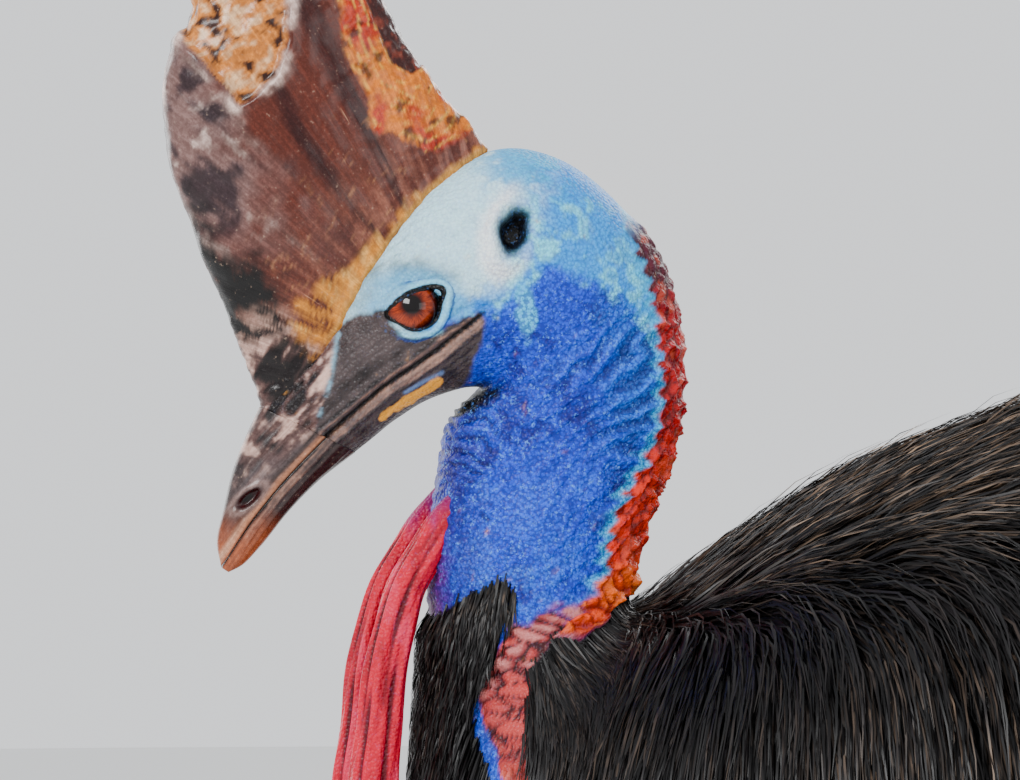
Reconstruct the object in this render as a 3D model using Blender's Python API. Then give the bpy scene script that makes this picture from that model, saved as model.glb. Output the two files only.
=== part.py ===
"""A life-size southern cassowary standing still, as a museum model.

Metres, +Z up. The bird faces -Y and its left side is +X. The origin is on the floor, under the
middle of its bounding box. Every part of the body is its own closed object, and touching parts
keep a gap of GAP between their faces. The drooping coat is made of flat locks that taper to
their tips and overlap along its lie, over a solid core.
"""

import math
from collections import namedtuple

import bmesh
import bpy
import numpy as np
from mathutils import Matrix, Vector

GAP = 0.0003
SEED = 7

# One cross-section of the body: its upper and lower points in the median plane, as (y, z), its
# half width to each side, and how deep its coat stands on the core.
Section = namedtuple("Section", "top low half_width coat", defaults=(0.0,))

# From the root of the bill over the skull and down the neck to where the coat begins.
BODY = (
    Section((-0.492, 1.033), (-0.448, 1.012), 0.0135),
    Section((-0.479, 1.050), (-0.439, 1.019), 0.0170),
    Section((-0.460, 1.075), (-0.432, 1.025), 0.0220),
    Section((-0.444, 1.101), (-0.426, 1.029), 0.0275),
    Section((-0.425, 1.127), (-0.420, 1.033), 0.0320),
    Section((-0.401, 1.145), (-0.412, 1.037), 0.0355),
    Section((-0.375, 1.154), (-0.403, 1.040), 0.0380),
    Section((-0.349, 1.147), (-0.395, 1.042), 0.0390),
    Section((-0.327, 1.130), (-0.389, 1.042), 0.0385),
    Section((-0.309, 1.109), (-0.388, 1.040), 0.0375),
    Section((-0.299, 1.087), (-0.396, 1.035), 0.0360),
    Section((-0.294, 1.061), (-0.405, 1.024), 0.0350),
    Section((-0.293, 1.040), (-0.408, 1.010), 0.0350),
    Section((-0.297, 1.015), (-0.410, 0.996), 0.0360),
    Section((-0.307, 0.987), (-0.413, 0.980), 0.0380),
    Section((-0.315, 0.964), (-0.415, 0.961), 0.0410),
    Section((-0.321, 0.943), (-0.417, 0.938), 0.0460, 0.004),
    Section((-0.321, 0.941), (-0.419, 0.900), 0.0520, 0.007),
    Section((-0.320, 0.939), (-0.421, 0.860), 0.0620, 0.008),
    Section((-0.318, 0.937), (-0.424, 0.800), 0.0760, 0.009),
)
HEAD_END = 11
NECK_MIDDLE = 16
NECK_END = 19

# The trunk, out to the tips of its coat.
TRUNK = (
    Section((-0.3172, 0.9380), (-0.4272, 0.7959), 0.090, 0.010),
    Section((-0.290, 0.955), (-0.405, 0.710), 0.130, 0.020),
    Section((-0.235, 0.990), (-0.330, 0.625), 0.172, 0.028),
    Section((-0.160, 1.024), (-0.220, 0.575), 0.200, 0.032),
    Section((-0.060, 1.055), (-0.080, 0.555), 0.218, 0.034),
    Section((0.050, 1.068), (0.050, 0.550), 0.222, 0.034),
    Section((0.160, 1.055), (0.170, 0.555), 0.215, 0.034),
    Section((0.270, 1.012), (0.280, 0.570), 0.195, 0.033),
    Section((0.370, 0.935), (0.370, 0.585), 0.165, 0.031),
    Section((0.455, 0.830), (0.440, 0.590), 0.125, 0.027),
    Section((0.510, 0.720), (0.485, 0.590), 0.080, 0.020),
    Section((0.537, 0.620), (0.520, 0.585), 0.030, 0.010),
)
TAIL_START = 8
TAIL_CORE_END = 10.4

# How boxy the sections are: 2 is an ellipse.
HEAD_FULLNESS = 2.15
TRUNK_FULLNESS = 2.25
THIGH_FULLNESS = 2.1

# The horny bill in front of the face, to its tip.
BILL = (
    Section((-0.492, 1.033), (-0.448, 1.012), 0.0135),
    Section((-0.499, 1.018), (-0.465, 0.999), 0.0115),
    Section((-0.505, 1.002), (-0.479, 0.985), 0.0095),
    Section((-0.509, 0.985), (-0.492, 0.969), 0.0070),
    Section((-0.512, 0.971), (-0.501, 0.960), 0.0045),
    Section((-0.510, 0.959), (-0.507, 0.957), 0.0015),
)
# Where the mouth closes, from the bill's tip to the corner under the eye, as (y, z).
MOUTH = (
    (-0.520, 0.944),
    (-0.511, 0.958),
    (-0.498, 0.979),
    (-0.483, 0.998),
    (-0.462, 1.020),
    (-0.438, 1.042),
    (-0.413, 1.060),
    (-0.390, 1.075),
)
GROOVE_DEPTH = 0.005
GROOVE_HALF = 0.0006

# The horny helmet, from inside the skull to its crown.
CASQUE = (
    Section((-0.480, 1.006), (-0.376, 1.128), 0.0110),
    Section((-0.492, 1.036), (-0.390, 1.158), 0.0160),
    Section((-0.506, 1.073), (-0.404, 1.174), 0.0225),
    Section((-0.523, 1.114), (-0.415, 1.190), 0.0250),
    Section((-0.535, 1.152), (-0.425, 1.204), 0.0240),
    Section((-0.537, 1.182), (-0.433, 1.220), 0.0225),
    Section((-0.528, 1.210), (-0.440, 1.235), 0.0200),
    Section((-0.519, 1.236), (-0.451, 1.250), 0.0165),
    Section((-0.505, 1.255), (-0.466, 1.261), 0.0110),
    Section((-0.488, 1.266), (-0.483, 1.267), 0.0030),
)

EYE = Vector((0.0215, -0.4245, 1.0785))
EYE_RADIUS = 0.0165
LID_RADIUS = 0.0125
LID_THICKNESS = 0.0026
LID_OUT = 0.0335
LID_FLATNESS = 0.88
# The ear: the oval rim of skin round it, and the hole in its middle.
EAR = Vector((0.0365, -0.379, 1.114))
EAR_RIM = (0.0050, 0.0118, 0.0145)
EAR_HOLE = (0.0120, 0.0075, 0.0105)
NOSTRIL = Vector((0.0095, -0.4975, 0.9925))
NOSTRIL_SIZE = (0.0035, 0.0065, 0.0026)
NOSTRIL_TILT = math.radians(-48)

# The two lobes of bare skin under the throat: (y, z), half width along y and half thickness.
WATTLE = (
    ((-0.402, 0.990), 0.0050, 0.0040),
    ((-0.413, 0.972), 0.0075, 0.0050),
    ((-0.426, 0.948), 0.0085, 0.0060),
    ((-0.434, 0.918), 0.0092, 0.0065),
    ((-0.438, 0.885), 0.0098, 0.0070),
    ((-0.441, 0.850), 0.0110, 0.0080),
    ((-0.441, 0.825), 0.0105, 0.0080),
    ((-0.440, 0.812), 0.0050, 0.0045),
)
WATTLE_X = 0.0125
RIGHT_WATTLE_SHIFT = -0.004
WATTLE_FOLDS = 4
WATTLE_FOLD_DEPTH = 0.16

# The bumpy patch of bare skin low on the hind neck, on both sides.
CARUNCLE_ROWS = ((-0.341, 0.934, 3), (-0.336, 0.921, 2))
CARUNCLE_PITCH = 0.0115
CARUNCLE_SIZE = (0.0034, 0.0048, 0.0040)

# The legs, for one side: the knee is hidden in the coat, the hock shows. The right foot stands
# further back than the left.
STEP = 0.045
KNEE = Vector((0.100, -0.060, 0.690))
HOCK = Vector((0.086, 0.085, 0.385))
ANKLE = Vector((0.086, 0.040, 0.058))
# Along the thigh from knee to hock: share of the way, half depth, half width, depth of coat.
THIGH = (
    (0.00, 0.100, 0.074, 0.016),
    (0.25, 0.092, 0.070, 0.016),
    (0.50, 0.072, 0.056, 0.014),
    (0.72, 0.048, 0.040, 0.010),
    (0.84, 0.032, 0.029, 0.005),
)
THIGH_CORE_END = 3.6
# The bare shin, hock and tarsus: share of the way down, half depth and half width.
SHIN = ((0.76, 0.023, 0.020), (0.90, 0.025, 0.021))
TARSUS = (
    (0.00, 0.030, 0.025),
    (0.08, 0.028, 0.024),
    (0.18, 0.0215, 0.018),
    (0.50, 0.0190, 0.0155),
    (0.80, 0.0205, 0.0170),
    (0.93, 0.0260, 0.0230),
    (1.00, 0.0260, 0.0250),
)
# The horny plates down the front of the tarsus and along the toes: their number, the stretch that
# they cover and their half width as a share of the limb's.
TARSUS_SCUTES = 6
TARSUS_PLATED = (0.10, 0.90)
TARSUS_PLATE_WIDTH = 0.72
TOE_SCUTES = 2
TOE_PLATED = (0.42, 0.96)
TOE_PLATE_WIDTH = 0.62
TOE_PLATE_SEAT = 0.98
SCUTE_RISE = 0.0016
SCUTE_SUNK = 0.0030

# Each toe: turn from straight ahead (outwards is positive), length, thickness at root and tip,
# its claw's length and how far that claw's tip stands up.
Toe = namedtuple("Toe", "name turn length root tip claw rise")
TOES = (
    Toe("inner", math.radians(-24), 0.085, 0.021, 0.0150, 0.105, 0.012),
    Toe("middle", math.radians(2), 0.150, 0.023, 0.0135, 0.036, 0.000),
    Toe("outer", math.radians(30), 0.105, 0.020, 0.0125, 0.030, 0.000),
)
TOE_RINGS = (0.0, 0.20, 0.45, 0.72, 1.0)
TOE_PADS = 3
TOE_PAD_SWELL = 0.10
TOE_ARCH = 0.014
# How far the soles are pressed flat, and the claws' tips, seats and clearance over the floor.
PAD = 0.003
CLAW_TIP = 0.0012
CLAW_SEAT = 0.010
CLAW_CLEAR = 0.0005
FOOT_BALL = (0.031, 0.036, 0.031)

# The small wing with its bare quills, which leave the stub on the flank and run down over the
# coat. Places are on the trunk's sections: along it, and the angle from the back.
WING_PLACE = 3.9
WING_ANGLE = math.radians(74)
WING_STUB = (0.013, 0.034, 0.020)
QUILLS = 5
QUILL_LENGTH = 0.230
QUILL_RADIUS = 0.0030
QUILL_SPREAD = 0.38
QUILL_TURN = math.radians(3)
QUILL_OVER = 0.006
# Heights in the coat where the stub and the quills' roots lie, how fast a quill comes out of the
# coat and how much thinner it gets.
STUB_HEIGHT = 0.15
QUILL_ROOT = 0.20
QUILL_RISE = 3.2
QUILL_TAPER = 0.7

# The locks: shares of their length where a ring stands, with the height there from the core (0)
# to the tips of the coat (1), the share of the full width and the thickness.
LOCK_RINGS = (
    (0.00, -0.50, 0.55, 0.0060),
    (0.34, 0.40, 1.00, 0.0065),
    (0.70, 0.74, 0.80, 0.0050),
    (1.00, 1.00, 0.07, 0.0012),
)
LOCK_STEPS = 16
CORE, TIPS = 0.0, 1.0
# How much locks vary at most: in the place and angle of their roots, in length and width, in
# roll, and in how far they sink below the tips of the coat.
ROOT_SHIFT = 0.10
ROOT_TURN = math.radians(2.5)
LOCK_SPREAD = 0.14
WIDTH_SPREAD = 0.10
LOCK_ROLL = math.radians(6)
LOCK_SINK = 0.07
SHORTEST_LOCK = 0.035
# A lock narrower or shorter than these is thinner or narrower to match.
FULL_LOCK = 0.065
FULL_LENGTH = 0.090

# Rows of locks on each side of the trunk: the angle of their roots from the back in degrees,
# their length, width and count. They are spread between two places along the trunk's sections.
TORSO_ROWS = (
    (7, 0.200, 0.070, 8),
    (34, 0.220, 0.076, 8),
    (60, 0.230, 0.078, 8),
    (88, 0.225, 0.080, 8),
    (118, 0.160, 0.100, 6),
)
# The breast and the belly between them carry a few more.
BREAST_ROOTS = (
    (0.25, 180, 0.150, 0.075),
    (0.35, 148, 0.150, 0.075),
    (0.35, -148, 0.150, 0.075),
    (1.10, 165, 0.150, 0.085),
    (1.10, -165, 0.150, 0.085),
    (1.90, 150, 0.150, 0.080),
    (1.90, -150, 0.150, 0.080),
)
TORSO_SPREAD = (0.30, 7.50)
TAIL_ROWS = ((15, 0.130, 0.066, 3), (60, 0.140, 0.068, 3), (106, 0.110, 0.074, 2))
TAIL_SPREAD = (8.55, 10.05)
THIGH_ROWS = ((1.50, 0.110, 0.084, 5), (2.25, 0.100, 0.070, 4), (2.95, 0.070, 0.048, 4))
NECK_ROWS = ((16.5, 0.075, 0.036), (17.5, 0.070, 0.042), (18.4, 0.055, 0.048))
NECK_ANGLES = (-153, -117, 117, 153)
NECK_STAGGER = 18

BLACK = (0.012, 0.012, 0.014)
BLUE = (0.06, 0.20, 0.75)
PALE_BLUE = (0.45, 0.72, 0.86)
PINK = (0.80, 0.08, 0.16)
BROWN = (0.20, 0.11, 0.07)
HORN = (0.09, 0.07, 0.065)
AMBER = (0.30, 0.07, 0.02)
LEG_GREY = (0.24, 0.22, 0.19)


def monotone(rows, at):
    """A smooth curve through rows that never swings past them, read at the places at."""
    rows = np.asarray(rows, float)
    step = np.diff(rows, axis=0)
    before, after = step[:-1], step[1:]
    same_way = before * after > 0
    slope = np.zeros_like(rows)
    total = np.where(same_way, before + after, 1.0)
    slope[1:-1] = np.where(same_way, 2 * before * after / total, 0.0)
    slope[0], slope[-1] = step[0], step[-1]
    at = np.atleast_1d(np.asarray(at, float))
    i = np.clip(at.astype(int), 0, len(rows) - 2)
    t = (at - i)[:, None]
    return (
        rows[i] * (2 * t**3 - 3 * t**2 + 1)
        + slope[i] * (t**3 - 2 * t**2 + t)
        + rows[i + 1] * (3 * t**2 - 2 * t**3)
        + slope[i + 1] * (t**3 - t**2)
    )


def signed_power(value, power):
    """The power of the size of a value, with the value's sign."""
    return np.sign(value) * np.abs(value) ** power


def oval(angle, fullness):
    """How far a point at this angle stands along and across a section of half sizes 1."""
    return signed_power(np.cos(angle), 2 / fullness), signed_power(np.sin(angle), 2 / fullness)


def unit(vector):
    """A vector of the same direction with length 1."""
    return vector / np.linalg.norm(vector)


def angles(sides):
    """Even angles round a ring of so many points."""
    return np.arange(sides) * 2 * math.pi / sides


def ring(top, low, half_width, sides, fullness=2.0):
    """Points round one section: an ellipse, or a boxier oval where fullness is above 2."""
    top, low = np.asarray(top), np.asarray(low)
    middle, half = (top + low) / 2, (top - low) / 2
    along, across = oval(angles(sides), fullness)
    yz = middle + along[:, None] * half
    return np.column_stack((across * half_width, yz))


def loft(name, rings, closed=False):
    """One closed mesh object whose skin passes through the rings, with a flat cap at each end,
    or which comes back to its first ring where closed is set."""
    sides = len(rings[0])
    count = len(rings)
    mesh = bpy.data.meshes.new(name)
    faces = []
    for i in range(count if closed else count - 1):
        n = (i + 1) % count
        for j in range(sides):
            k = (j + 1) % sides
            faces.append((i * sides + j, i * sides + k, n * sides + k, n * sides + j))
    if not closed:
        faces.append(tuple(range(sides)))
        faces.append(tuple(reversed(range((count - 1) * sides, count * sides))))
    mesh.from_pydata(np.concatenate(rings).tolist(), [], faces)
    form = bmesh.new()
    form.from_mesh(mesh)
    bmesh.ops.recalc_face_normals(form, faces=form.faces[:])
    bmesh.ops.triangulate(form, faces=form.faces[:])
    form.to_mesh(mesh)
    form.free()
    thing = bpy.data.objects.new(name, mesh)
    bpy.context.scene.collection.objects.link(thing)
    return thing


def trim_ends(rings, rows, gap_start, gap_end):
    """Takes half of the gap to a neighbour off each end, square to its cap."""
    for place, inner, gap in ((0, 1, gap_start), (-1, -2, gap_end)):
        top, low = rows[place][0:2], rows[place][2:4]
        along = unit(top - low)
        square = np.array((0.0, -along[1], along[0]))
        inward = rings[inner].mean(axis=0) - rings[place].mean(axis=0)
        square = square * np.sign(square @ inward)
        rings[place] = rings[place] + square * gap / 2
    return rings


def table_rows(table):
    """A table of sections as plain rows."""
    return [(*s.top, *s.low, s.half_width, s.coat) for s in table]


def sections(table, start, end, count, sides, fullness=2.0, gap_start=GAP, gap_end=GAP):
    """Rings through a table of sections from one place to another."""
    rows = monotone(table_rows(table), np.linspace(start, end, count))
    rings = [ring(r[0:2], r[2:4], r[4], sides, fullness) for r in rows]
    return trim_ends(rings, rows, gap_start, gap_end)


def trunk_share(angle):
    """The coat is a little deeper under the belly than on the back."""
    return 0.78 + 0.16 * (1 - np.cos(angle))


def neck_share(angle):
    """The neck carries feathers in front and at its sides, and none behind."""
    return np.clip(0.15 - np.cos(angle), 0, 1)


def coated(table, fullness, share):
    """The surface of a stretch that carries a coat: a function of the place along its table, the
    angle round it and the height, from its core (0) to the tips of the coat (1)."""
    rows = table_rows(table)

    def surface(place, angle, height):
        place, angle, height = np.broadcast_arrays(place, angle, height)
        found = monotone(rows, place.ravel())
        top, low, width, coat = found[:, 0:2], found[:, 2:4], found[:, 4], found[:, 5]
        middle, half = (top + low) / 2, (top - low) / 2
        length = np.linalg.norm(half, axis=1)
        angle = angle.ravel()
        inset = coat * share(angle) * (1 - height.ravel())
        along, across = oval(angle, fullness)
        yz = middle + half * (along * (1 - inset / length))[:, None]
        return np.column_stack((across * (width - inset), yz))

    return surface


def coated_thigh(side):
    """The same for a thigh, whose place runs along the rows of THIGH."""
    knee, hock, _ = (np.array(p) for p in leg_points(side))
    way = unit(hock - knee)
    sideways = unit(np.array((1.0, 0.0, 0.0)) - way[0] * way)
    front = np.cross(sideways, way)

    def surface(place, angle, height):
        place, angle, height = np.broadcast_arrays(place, angle, height)
        share, depth, width, coat = monotone(THIGH, place.ravel()).T
        inset = coat * (1 - height.ravel())
        along, across = oval(angle.ravel(), THIGH_FULLNESS)
        centre = knee + np.outer(share, hock - knee)
        across = across * (width - inset)
        return centre + np.outer(along * (depth - inset), front) + np.outer(across, sideways)

    return surface


def core_rings(surface, places, sides):
    """Rings of the solid core under a coat."""
    return [surface(place, angles(sides), CORE) for place in places]


def trunk_lie(place, angle):
    """Where the coat of the trunk points: back along the spine, and down over the flanks."""
    flank = min(abs(math.sin(angle / 2)) * math.sqrt(2), 1.0)
    breast = min(max(place / 2.5, 0.25), 1.0)
    return np.array((0.0, (1.0 - 0.72 * flank) * breast, -0.10 - 0.90 * flank))


def neck_lie(place, angle):
    """The feathers of the neck hang down."""
    return np.array((0.0, 0.12, -1.0))


def lie_path(surface, lie, start, last, length):
    """Walks from start along the lie of the coat, as (place, angle) pairs an even step apart."""
    step = length / LOCK_STEPS
    nudge = 1e-4
    path = [start]
    for _ in range(LOCK_STEPS):
        place, angle = path[-1]
        places, turns = [place, place + nudge, place], [angle, angle, angle + nudge]
        here, further, round_it = surface(places, turns, TIPS)
        frame = np.column_stack(((further - here) / nudge, (round_it - here) / nudge))
        way = lie(place, angle)
        moved = np.linalg.lstsq(frame, way, rcond=None)[0]
        moved = moved * step / np.linalg.norm(frame @ moved)
        if place + moved[0] > last:
            break
        path.append((place + moved[0], angle + moved[1]))
    return np.array(path), step * (len(path) - 1)


def lock(surface, path, length, width, roll, sink, grow):
    """A flat, tapered lock with a ridge, which rises out of the core and lies along its path.
    Where grow is above 0 it is a form that keeps clear of the lock by that much."""
    share, height, broad, thick = np.array(LOCK_RINGS).T
    along = share * (len(path) - 1)
    base = np.arange(len(path))
    place = np.interp(along, base, path[:, 0])
    angle = np.interp(along, base, path[:, 1])
    height = np.where(height > 0.5, height - sink, height)
    centres = surface(place, angle, height)
    outward = surface(place, angle, height + 1.0) - centres
    tangent = np.gradient(centres, axis=0)
    rings = []
    for i, centre in enumerate(centres):
        way = unit(tangent[i])
        out = unit(outward[i] - way * (outward[i] @ way))
        across = np.cross(out, way)
        tilt = roll * min(share[i] * 2, 1.0)
        across, out = (
            across * math.cos(tilt) + out * math.sin(tilt),
            out * math.cos(tilt) - across * math.sin(tilt),
        )
        edge = across * (width * min(length / FULL_LENGTH, 1.0) * broad[i] / 2 + grow)
        ridge = out * (thick[i] * min(width / FULL_LOCK, 1.0) ** 2 + 1.4 * grow)
        if grow:
            clear = out * grow
            corners = [edge - clear, edge + clear, ridge, clear - edge, -edge - clear]
        else:
            corners = [edge, ridge, -edge]
        rings.append(centre + np.array(corners))
    rings[0] = rings[0] - unit(tangent[0]) * grow
    rings[-1] = rings[-1] + unit(tangent[-1]) * grow
    return loft("lock", rings)


def locks(surface, lie, roots, last, grow):
    """All locks of one part of the body. A root is (place, angle, length, width)."""
    draw = np.random.default_rng(SEED)
    made = []
    for place, angle, length, width in roots:
        jitter = draw.uniform(-1, 1, 6)
        start = (place + ROOT_SHIFT * jitter[0], angle + ROOT_TURN * jitter[1])
        reach = length * (1 + LOCK_SPREAD * jitter[2])
        path, reached = lie_path(surface, lie, start, last, reach)
        if reached < SHORTEST_LOCK:
            continue
        wide = width * (1 + WIDTH_SPREAD * jitter[3])
        sink = LOCK_SINK * (1 + jitter[5])
        made.append(lock(surface, path, reached, wide, LOCK_ROLL * jitter[4], sink, grow))
    return made


def both_sides(rows, spread):
    """Roots for rows of locks, with every second row half a step further on."""
    first, last = spread
    roots = []
    for i, (degrees, length, width, count) in enumerate(rows):
        pitch = (last - first) / (count - 1)
        for j in range(count):
            place = min(first + pitch * (j + (i % 2) / 2), last)
            for side in (1, -1):
                roots.append((place, side * math.radians(degrees), length, width))
    return roots


def torso_pieces(grow):
    """The locks of the torso."""
    surface = coated(TRUNK, TRUNK_FULLNESS, trunk_share)
    roots = both_sides(TORSO_ROWS, TORSO_SPREAD)
    for place, degrees, length, width in BREAST_ROOTS:
        roots.append((place, math.radians(degrees), length, width))
    return locks(surface, trunk_lie, roots, len(TRUNK) - 1, grow)


def tail_pieces(grow):
    """The locks of the tail."""
    surface = coated(TRUNK, TRUNK_FULLNESS, trunk_share)
    return locks(surface, trunk_lie, both_sides(TAIL_ROWS, TAIL_SPREAD), len(TRUNK) - 1, grow)


def thigh_pieces(side, grow):
    """The locks of one thigh."""
    roots = []
    for i, (place, length, width, count) in enumerate(THIGH_ROWS):
        for j in range(count):
            roots.append((place, 2 * math.pi * (j + (i % 2) / 2) / count, length, width))
    knee, hock, _ = leg_points(side)
    way = unit(np.array(hock - knee))
    return locks(coated_thigh(side), lambda place, angle: way, roots, len(THIGH) - 1, grow)


def neck_pieces(grow):
    """The locks of the lower neck."""
    roots = []
    for i, (place, length, width) in enumerate(NECK_ROWS):
        for degrees in NECK_ANGLES:
            shift = NECK_STAGGER if i % 2 else 0
            roots.append((place, math.radians(degrees + shift), length, width))
    return locks(coated(BODY, 2.0, neck_share), neck_lie, roots, NECK_END, grow)


def trunk_core(name, start, end, count):
    """The solid under the coat of the torso or the tail."""
    surface = coated(TRUNK, TRUNK_FULLNESS, trunk_share)
    places = np.linspace(start, end, count)
    rows = monotone(table_rows(TRUNK), places)
    gap_end = GAP if end == TAIL_START else 0.0
    return loft(name, trim_ends(core_rings(surface, places, 18), rows, GAP, gap_end))


def neck_core():
    """The solid under the feathers of the lower neck."""
    surface = coated(BODY, 2.0, neck_share)
    places = np.linspace(NECK_MIDDLE, NECK_END, 5)
    rows = monotone(table_rows(BODY), places)
    return loft("neck_lower", trim_ends(core_rings(surface, places, 16), rows, GAP, GAP))


def thigh_core(side, name):
    """The solid under the coat of one thigh."""
    places = np.linspace(0, THIGH_CORE_END, 7)
    return loft(name, core_rings(coated_thigh(side), places, 12))


def limb(name, centres, half_depths, half_widths, sides, fullness=2.0, fold=None):
    """A closed tube along a bent line, whose sections stand square to it. A fold swells and
    narrows it round its sides."""
    centres = np.asarray(centres, float)
    tangent = np.gradient(centres, axis=0)
    tangent /= np.linalg.norm(tangent, axis=1)[:, None]
    rings = []
    along, across = oval(angles(sides), fullness)
    for i, (centre, way, depth, width) in enumerate(zip(centres, tangent, half_depths, half_widths)):
        sideways = unit(np.array((1.0, 0.0, 0.0)) - way[0] * way)
        front = np.cross(sideways, way)
        swell = 1.0 if fold is None else fold(i / (len(centres) - 1), angles(sides))
        deep, wide = along * swell * depth, across * swell * width
        rings.append(centre + np.outer(deep, front) + np.outer(wide, sideways))
    return loft(name, rings)


def ellipsoid(name, centre, size, tilt=0.0, segments=16, rings=10):
    """A closed oval body turned by tilt about the X axis."""
    mesh = bpy.data.meshes.new(name)
    form = bmesh.new()
    place = Matrix.Translation(centre) @ Matrix.Rotation(tilt, 4, "X") @ Matrix.Diagonal((*size, 1))
    bmesh.ops.create_uvsphere(form, u_segments=segments, v_segments=rings, radius=1, matrix=place)
    form.to_mesh(mesh)
    form.free()
    thing = bpy.data.objects.new(name, mesh)
    bpy.context.scene.collection.objects.link(thing)
    return thing


def copy_of(thing, grow=0.0):
    """A copy whose faces all stand grow further out."""
    other = bpy.data.objects.new(thing.name + "_copy", thing.data.copy())
    bpy.context.scene.collection.objects.link(other)
    form = bmesh.new()
    form.from_mesh(other.data)
    form.normal_update()
    moved = [v.co + v.normal * grow * min(v.calc_shell_factor(), 2.0) for v in form.verts]
    for vertex, place in zip(form.verts, moved):
        vertex.co = place
    form.to_mesh(other.data)
    form.free()
    return other


def apply_boolean(thing, others, operation, solver):
    """Applies one Boolean between thing and all the others, and removes these."""
    group = bpy.data.collections.new("operands")
    for other in others:
        group.objects.link(other)
    change = thing.modifiers.new("change", "BOOLEAN")
    change.operation = operation
    change.solver = solver
    change.operand_type = "COLLECTION"
    change.collection = group
    bpy.context.view_layer.update()
    graph = bpy.context.evaluated_depsgraph_get()
    result = bpy.data.meshes.new_from_object(thing.evaluated_get(graph))
    thing.modifiers.clear()
    thing.data = result
    for other in others:
        bpy.data.objects.remove(other)
    bpy.data.collections.remove(group)


def cut(thing, *others, solver="EXACT"):
    """Takes other forms out of a thing."""
    apply_boolean(thing, others, "DIFFERENCE", solver)


def fuse(thing, *others, solver="EXACT"):
    """Joins other forms to a thing."""
    apply_boolean(thing, others, "UNION", solver)


def slab(name, outline, half_width):
    """A plate of a (y, z) outline, as wide as half_width to each side."""
    left = [(half_width, y, z) for y, z in outline]
    right = [(-half_width, y, z) for y, z in outline]
    return loft(name, [np.array(left), np.array(right)])


def floor_slab(height):
    """A thick plate whose top is this far above the floor."""
    return slab("floor", ((-1, height), (1, height), (1, -0.2), (-1, -0.2)), 1)


def finish(thing, colour, roughness=0.6):
    """Gives a piece its own material and its smooth shading."""
    material = bpy.data.materials.new(thing.name)
    material.use_nodes = True
    shader = material.node_tree.nodes["Principled BSDF"]
    shader.inputs["Base Color"].default_value = (*colour, 1)
    shader.inputs["Roughness"].default_value = roughness
    shader.inputs["Metallic"].default_value = 0.0
    thing.data.materials.clear()
    thing.data.materials.append(material)
    thing.data.shade_smooth()
    thing.data.set_sharp_from_angle(angle=math.radians(40))
    return thing


def mouth_line(count=12):
    """Points along the closed mouth, as (y, z)."""
    return monotone(MOUTH, np.linspace(0, len(MOUTH) - 1, count))


def mouth_side(name, upwards):
    """Everything on one side of the mouth line, to half a gap past it."""
    line = mouth_line()
    way = np.gradient(line, axis=0)
    way /= np.linalg.norm(way, axis=1)[:, None]
    up = np.column_stack((-way[:, 1], way[:, 0]))
    sign = 1 if upwards else -1
    near = line - up * sign * GAP / 2
    far = line + np.array((-1.0, 1.0)) * sign * 0.05
    return slab(name, np.concatenate((near, far[::-1])), 0.06)


def skull_rings(gap_start=GAP, gap_end=GAP):
    """The rings of the head without its bill and casque."""
    return sections(BODY, 0, HEAD_END, 13, 16, HEAD_FULLNESS, gap_start, gap_end)


def bill_rings(gap_start=GAP, gap_end=0.0):
    """The rings of the whole bill, from its root to its tip."""
    return sections(BILL, 0, len(BILL) - 1, 8, 16, HEAD_FULLNESS, gap_start, gap_end)


def lid_ring(side):
    """The raised rim of skin round one eye."""
    turns, sides = 10, 5
    rings = []
    centre = np.array((LID_OUT * side, EYE.y, EYE.z))
    for a in angles(turns):
        out = np.array((0.0, math.cos(a), math.sin(a) * LID_FLATNESS))
        b = angles(sides)
        offset = np.outer(np.cos(b), out) + np.outer(np.sin(b), (1.0, 0.0, 0.0))
        rings.append(centre + out * LID_RADIUS + offset * LID_THICKNESS)
    return loft("lid", rings, closed=True)


def mouth_groove(side):
    """A thin blade that scores the line of the mouth into one cheek."""
    body = monotone(table_rows(BODY), np.linspace(0, 6, 40))
    middle = (body[:, 0:2] + body[:, 2:4]) / 2
    rings = []
    line = mouth_line()[6:]
    way = np.gradient(line, axis=0)
    way /= np.linalg.norm(way, axis=1)[:, None]
    for place, along in zip(line, way):
        width = body[np.argmin(np.linalg.norm(middle - place, axis=1)), 4]
        up = np.array((-along[1], along[0])) * GROOVE_HALF
        deep, out = width - GROOVE_DEPTH, width + 2 * GROOVE_DEPTH
        corners = [(deep, *(place - up)), (out, *(place - 2 * up))]
        corners += [(out, *(place + 2 * up)), (deep, *(place + up))]
        rings.append(np.array(corners) * np.array((side, 1, 1)))
    return loft("groove", rings)


def build_head():
    """The skull with its lids, ears and mouth line, and the two eyeballs."""
    skull = loft("head", skull_rings())
    eyes = []
    for side, name in ((1, "eye_left"), (-1, "eye_right")):
        ear = Vector((EAR.x * side, EAR.y, EAR.z))
        fuse(skull, lid_ring(side), ellipsoid("rim", ear, EAR_RIM, segments=10, rings=5))
        eye = ellipsoid(name, (EYE.x * side, EYE.y, EYE.z), (EYE_RADIUS,) * 3, segments=12, rings=7)
        cut(skull, copy_of(eye, GAP))
        eyes.append(eye)
        cut(skull, ellipsoid("ear", ear, EAR_HOLE, segments=8, rings=5))
        cut(skull, mouth_groove(side))
    return skull, eyes


def build_bill():
    """The two mandibles, which meet along the mouth line."""
    upper = loft("bill_upper", bill_rings())
    lower = loft("bill_lower", bill_rings())
    cut(upper, mouth_side("under", False))
    cut(lower, mouth_side("over", True))
    for side in (1, -1):
        place = (NOSTRIL.x * side, NOSTRIL.y, NOSTRIL.z)
        cut(upper, ellipsoid("nostril", place, NOSTRIL_SIZE, NOSTRIL_TILT, 8, 6))
    return upper, lower


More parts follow.
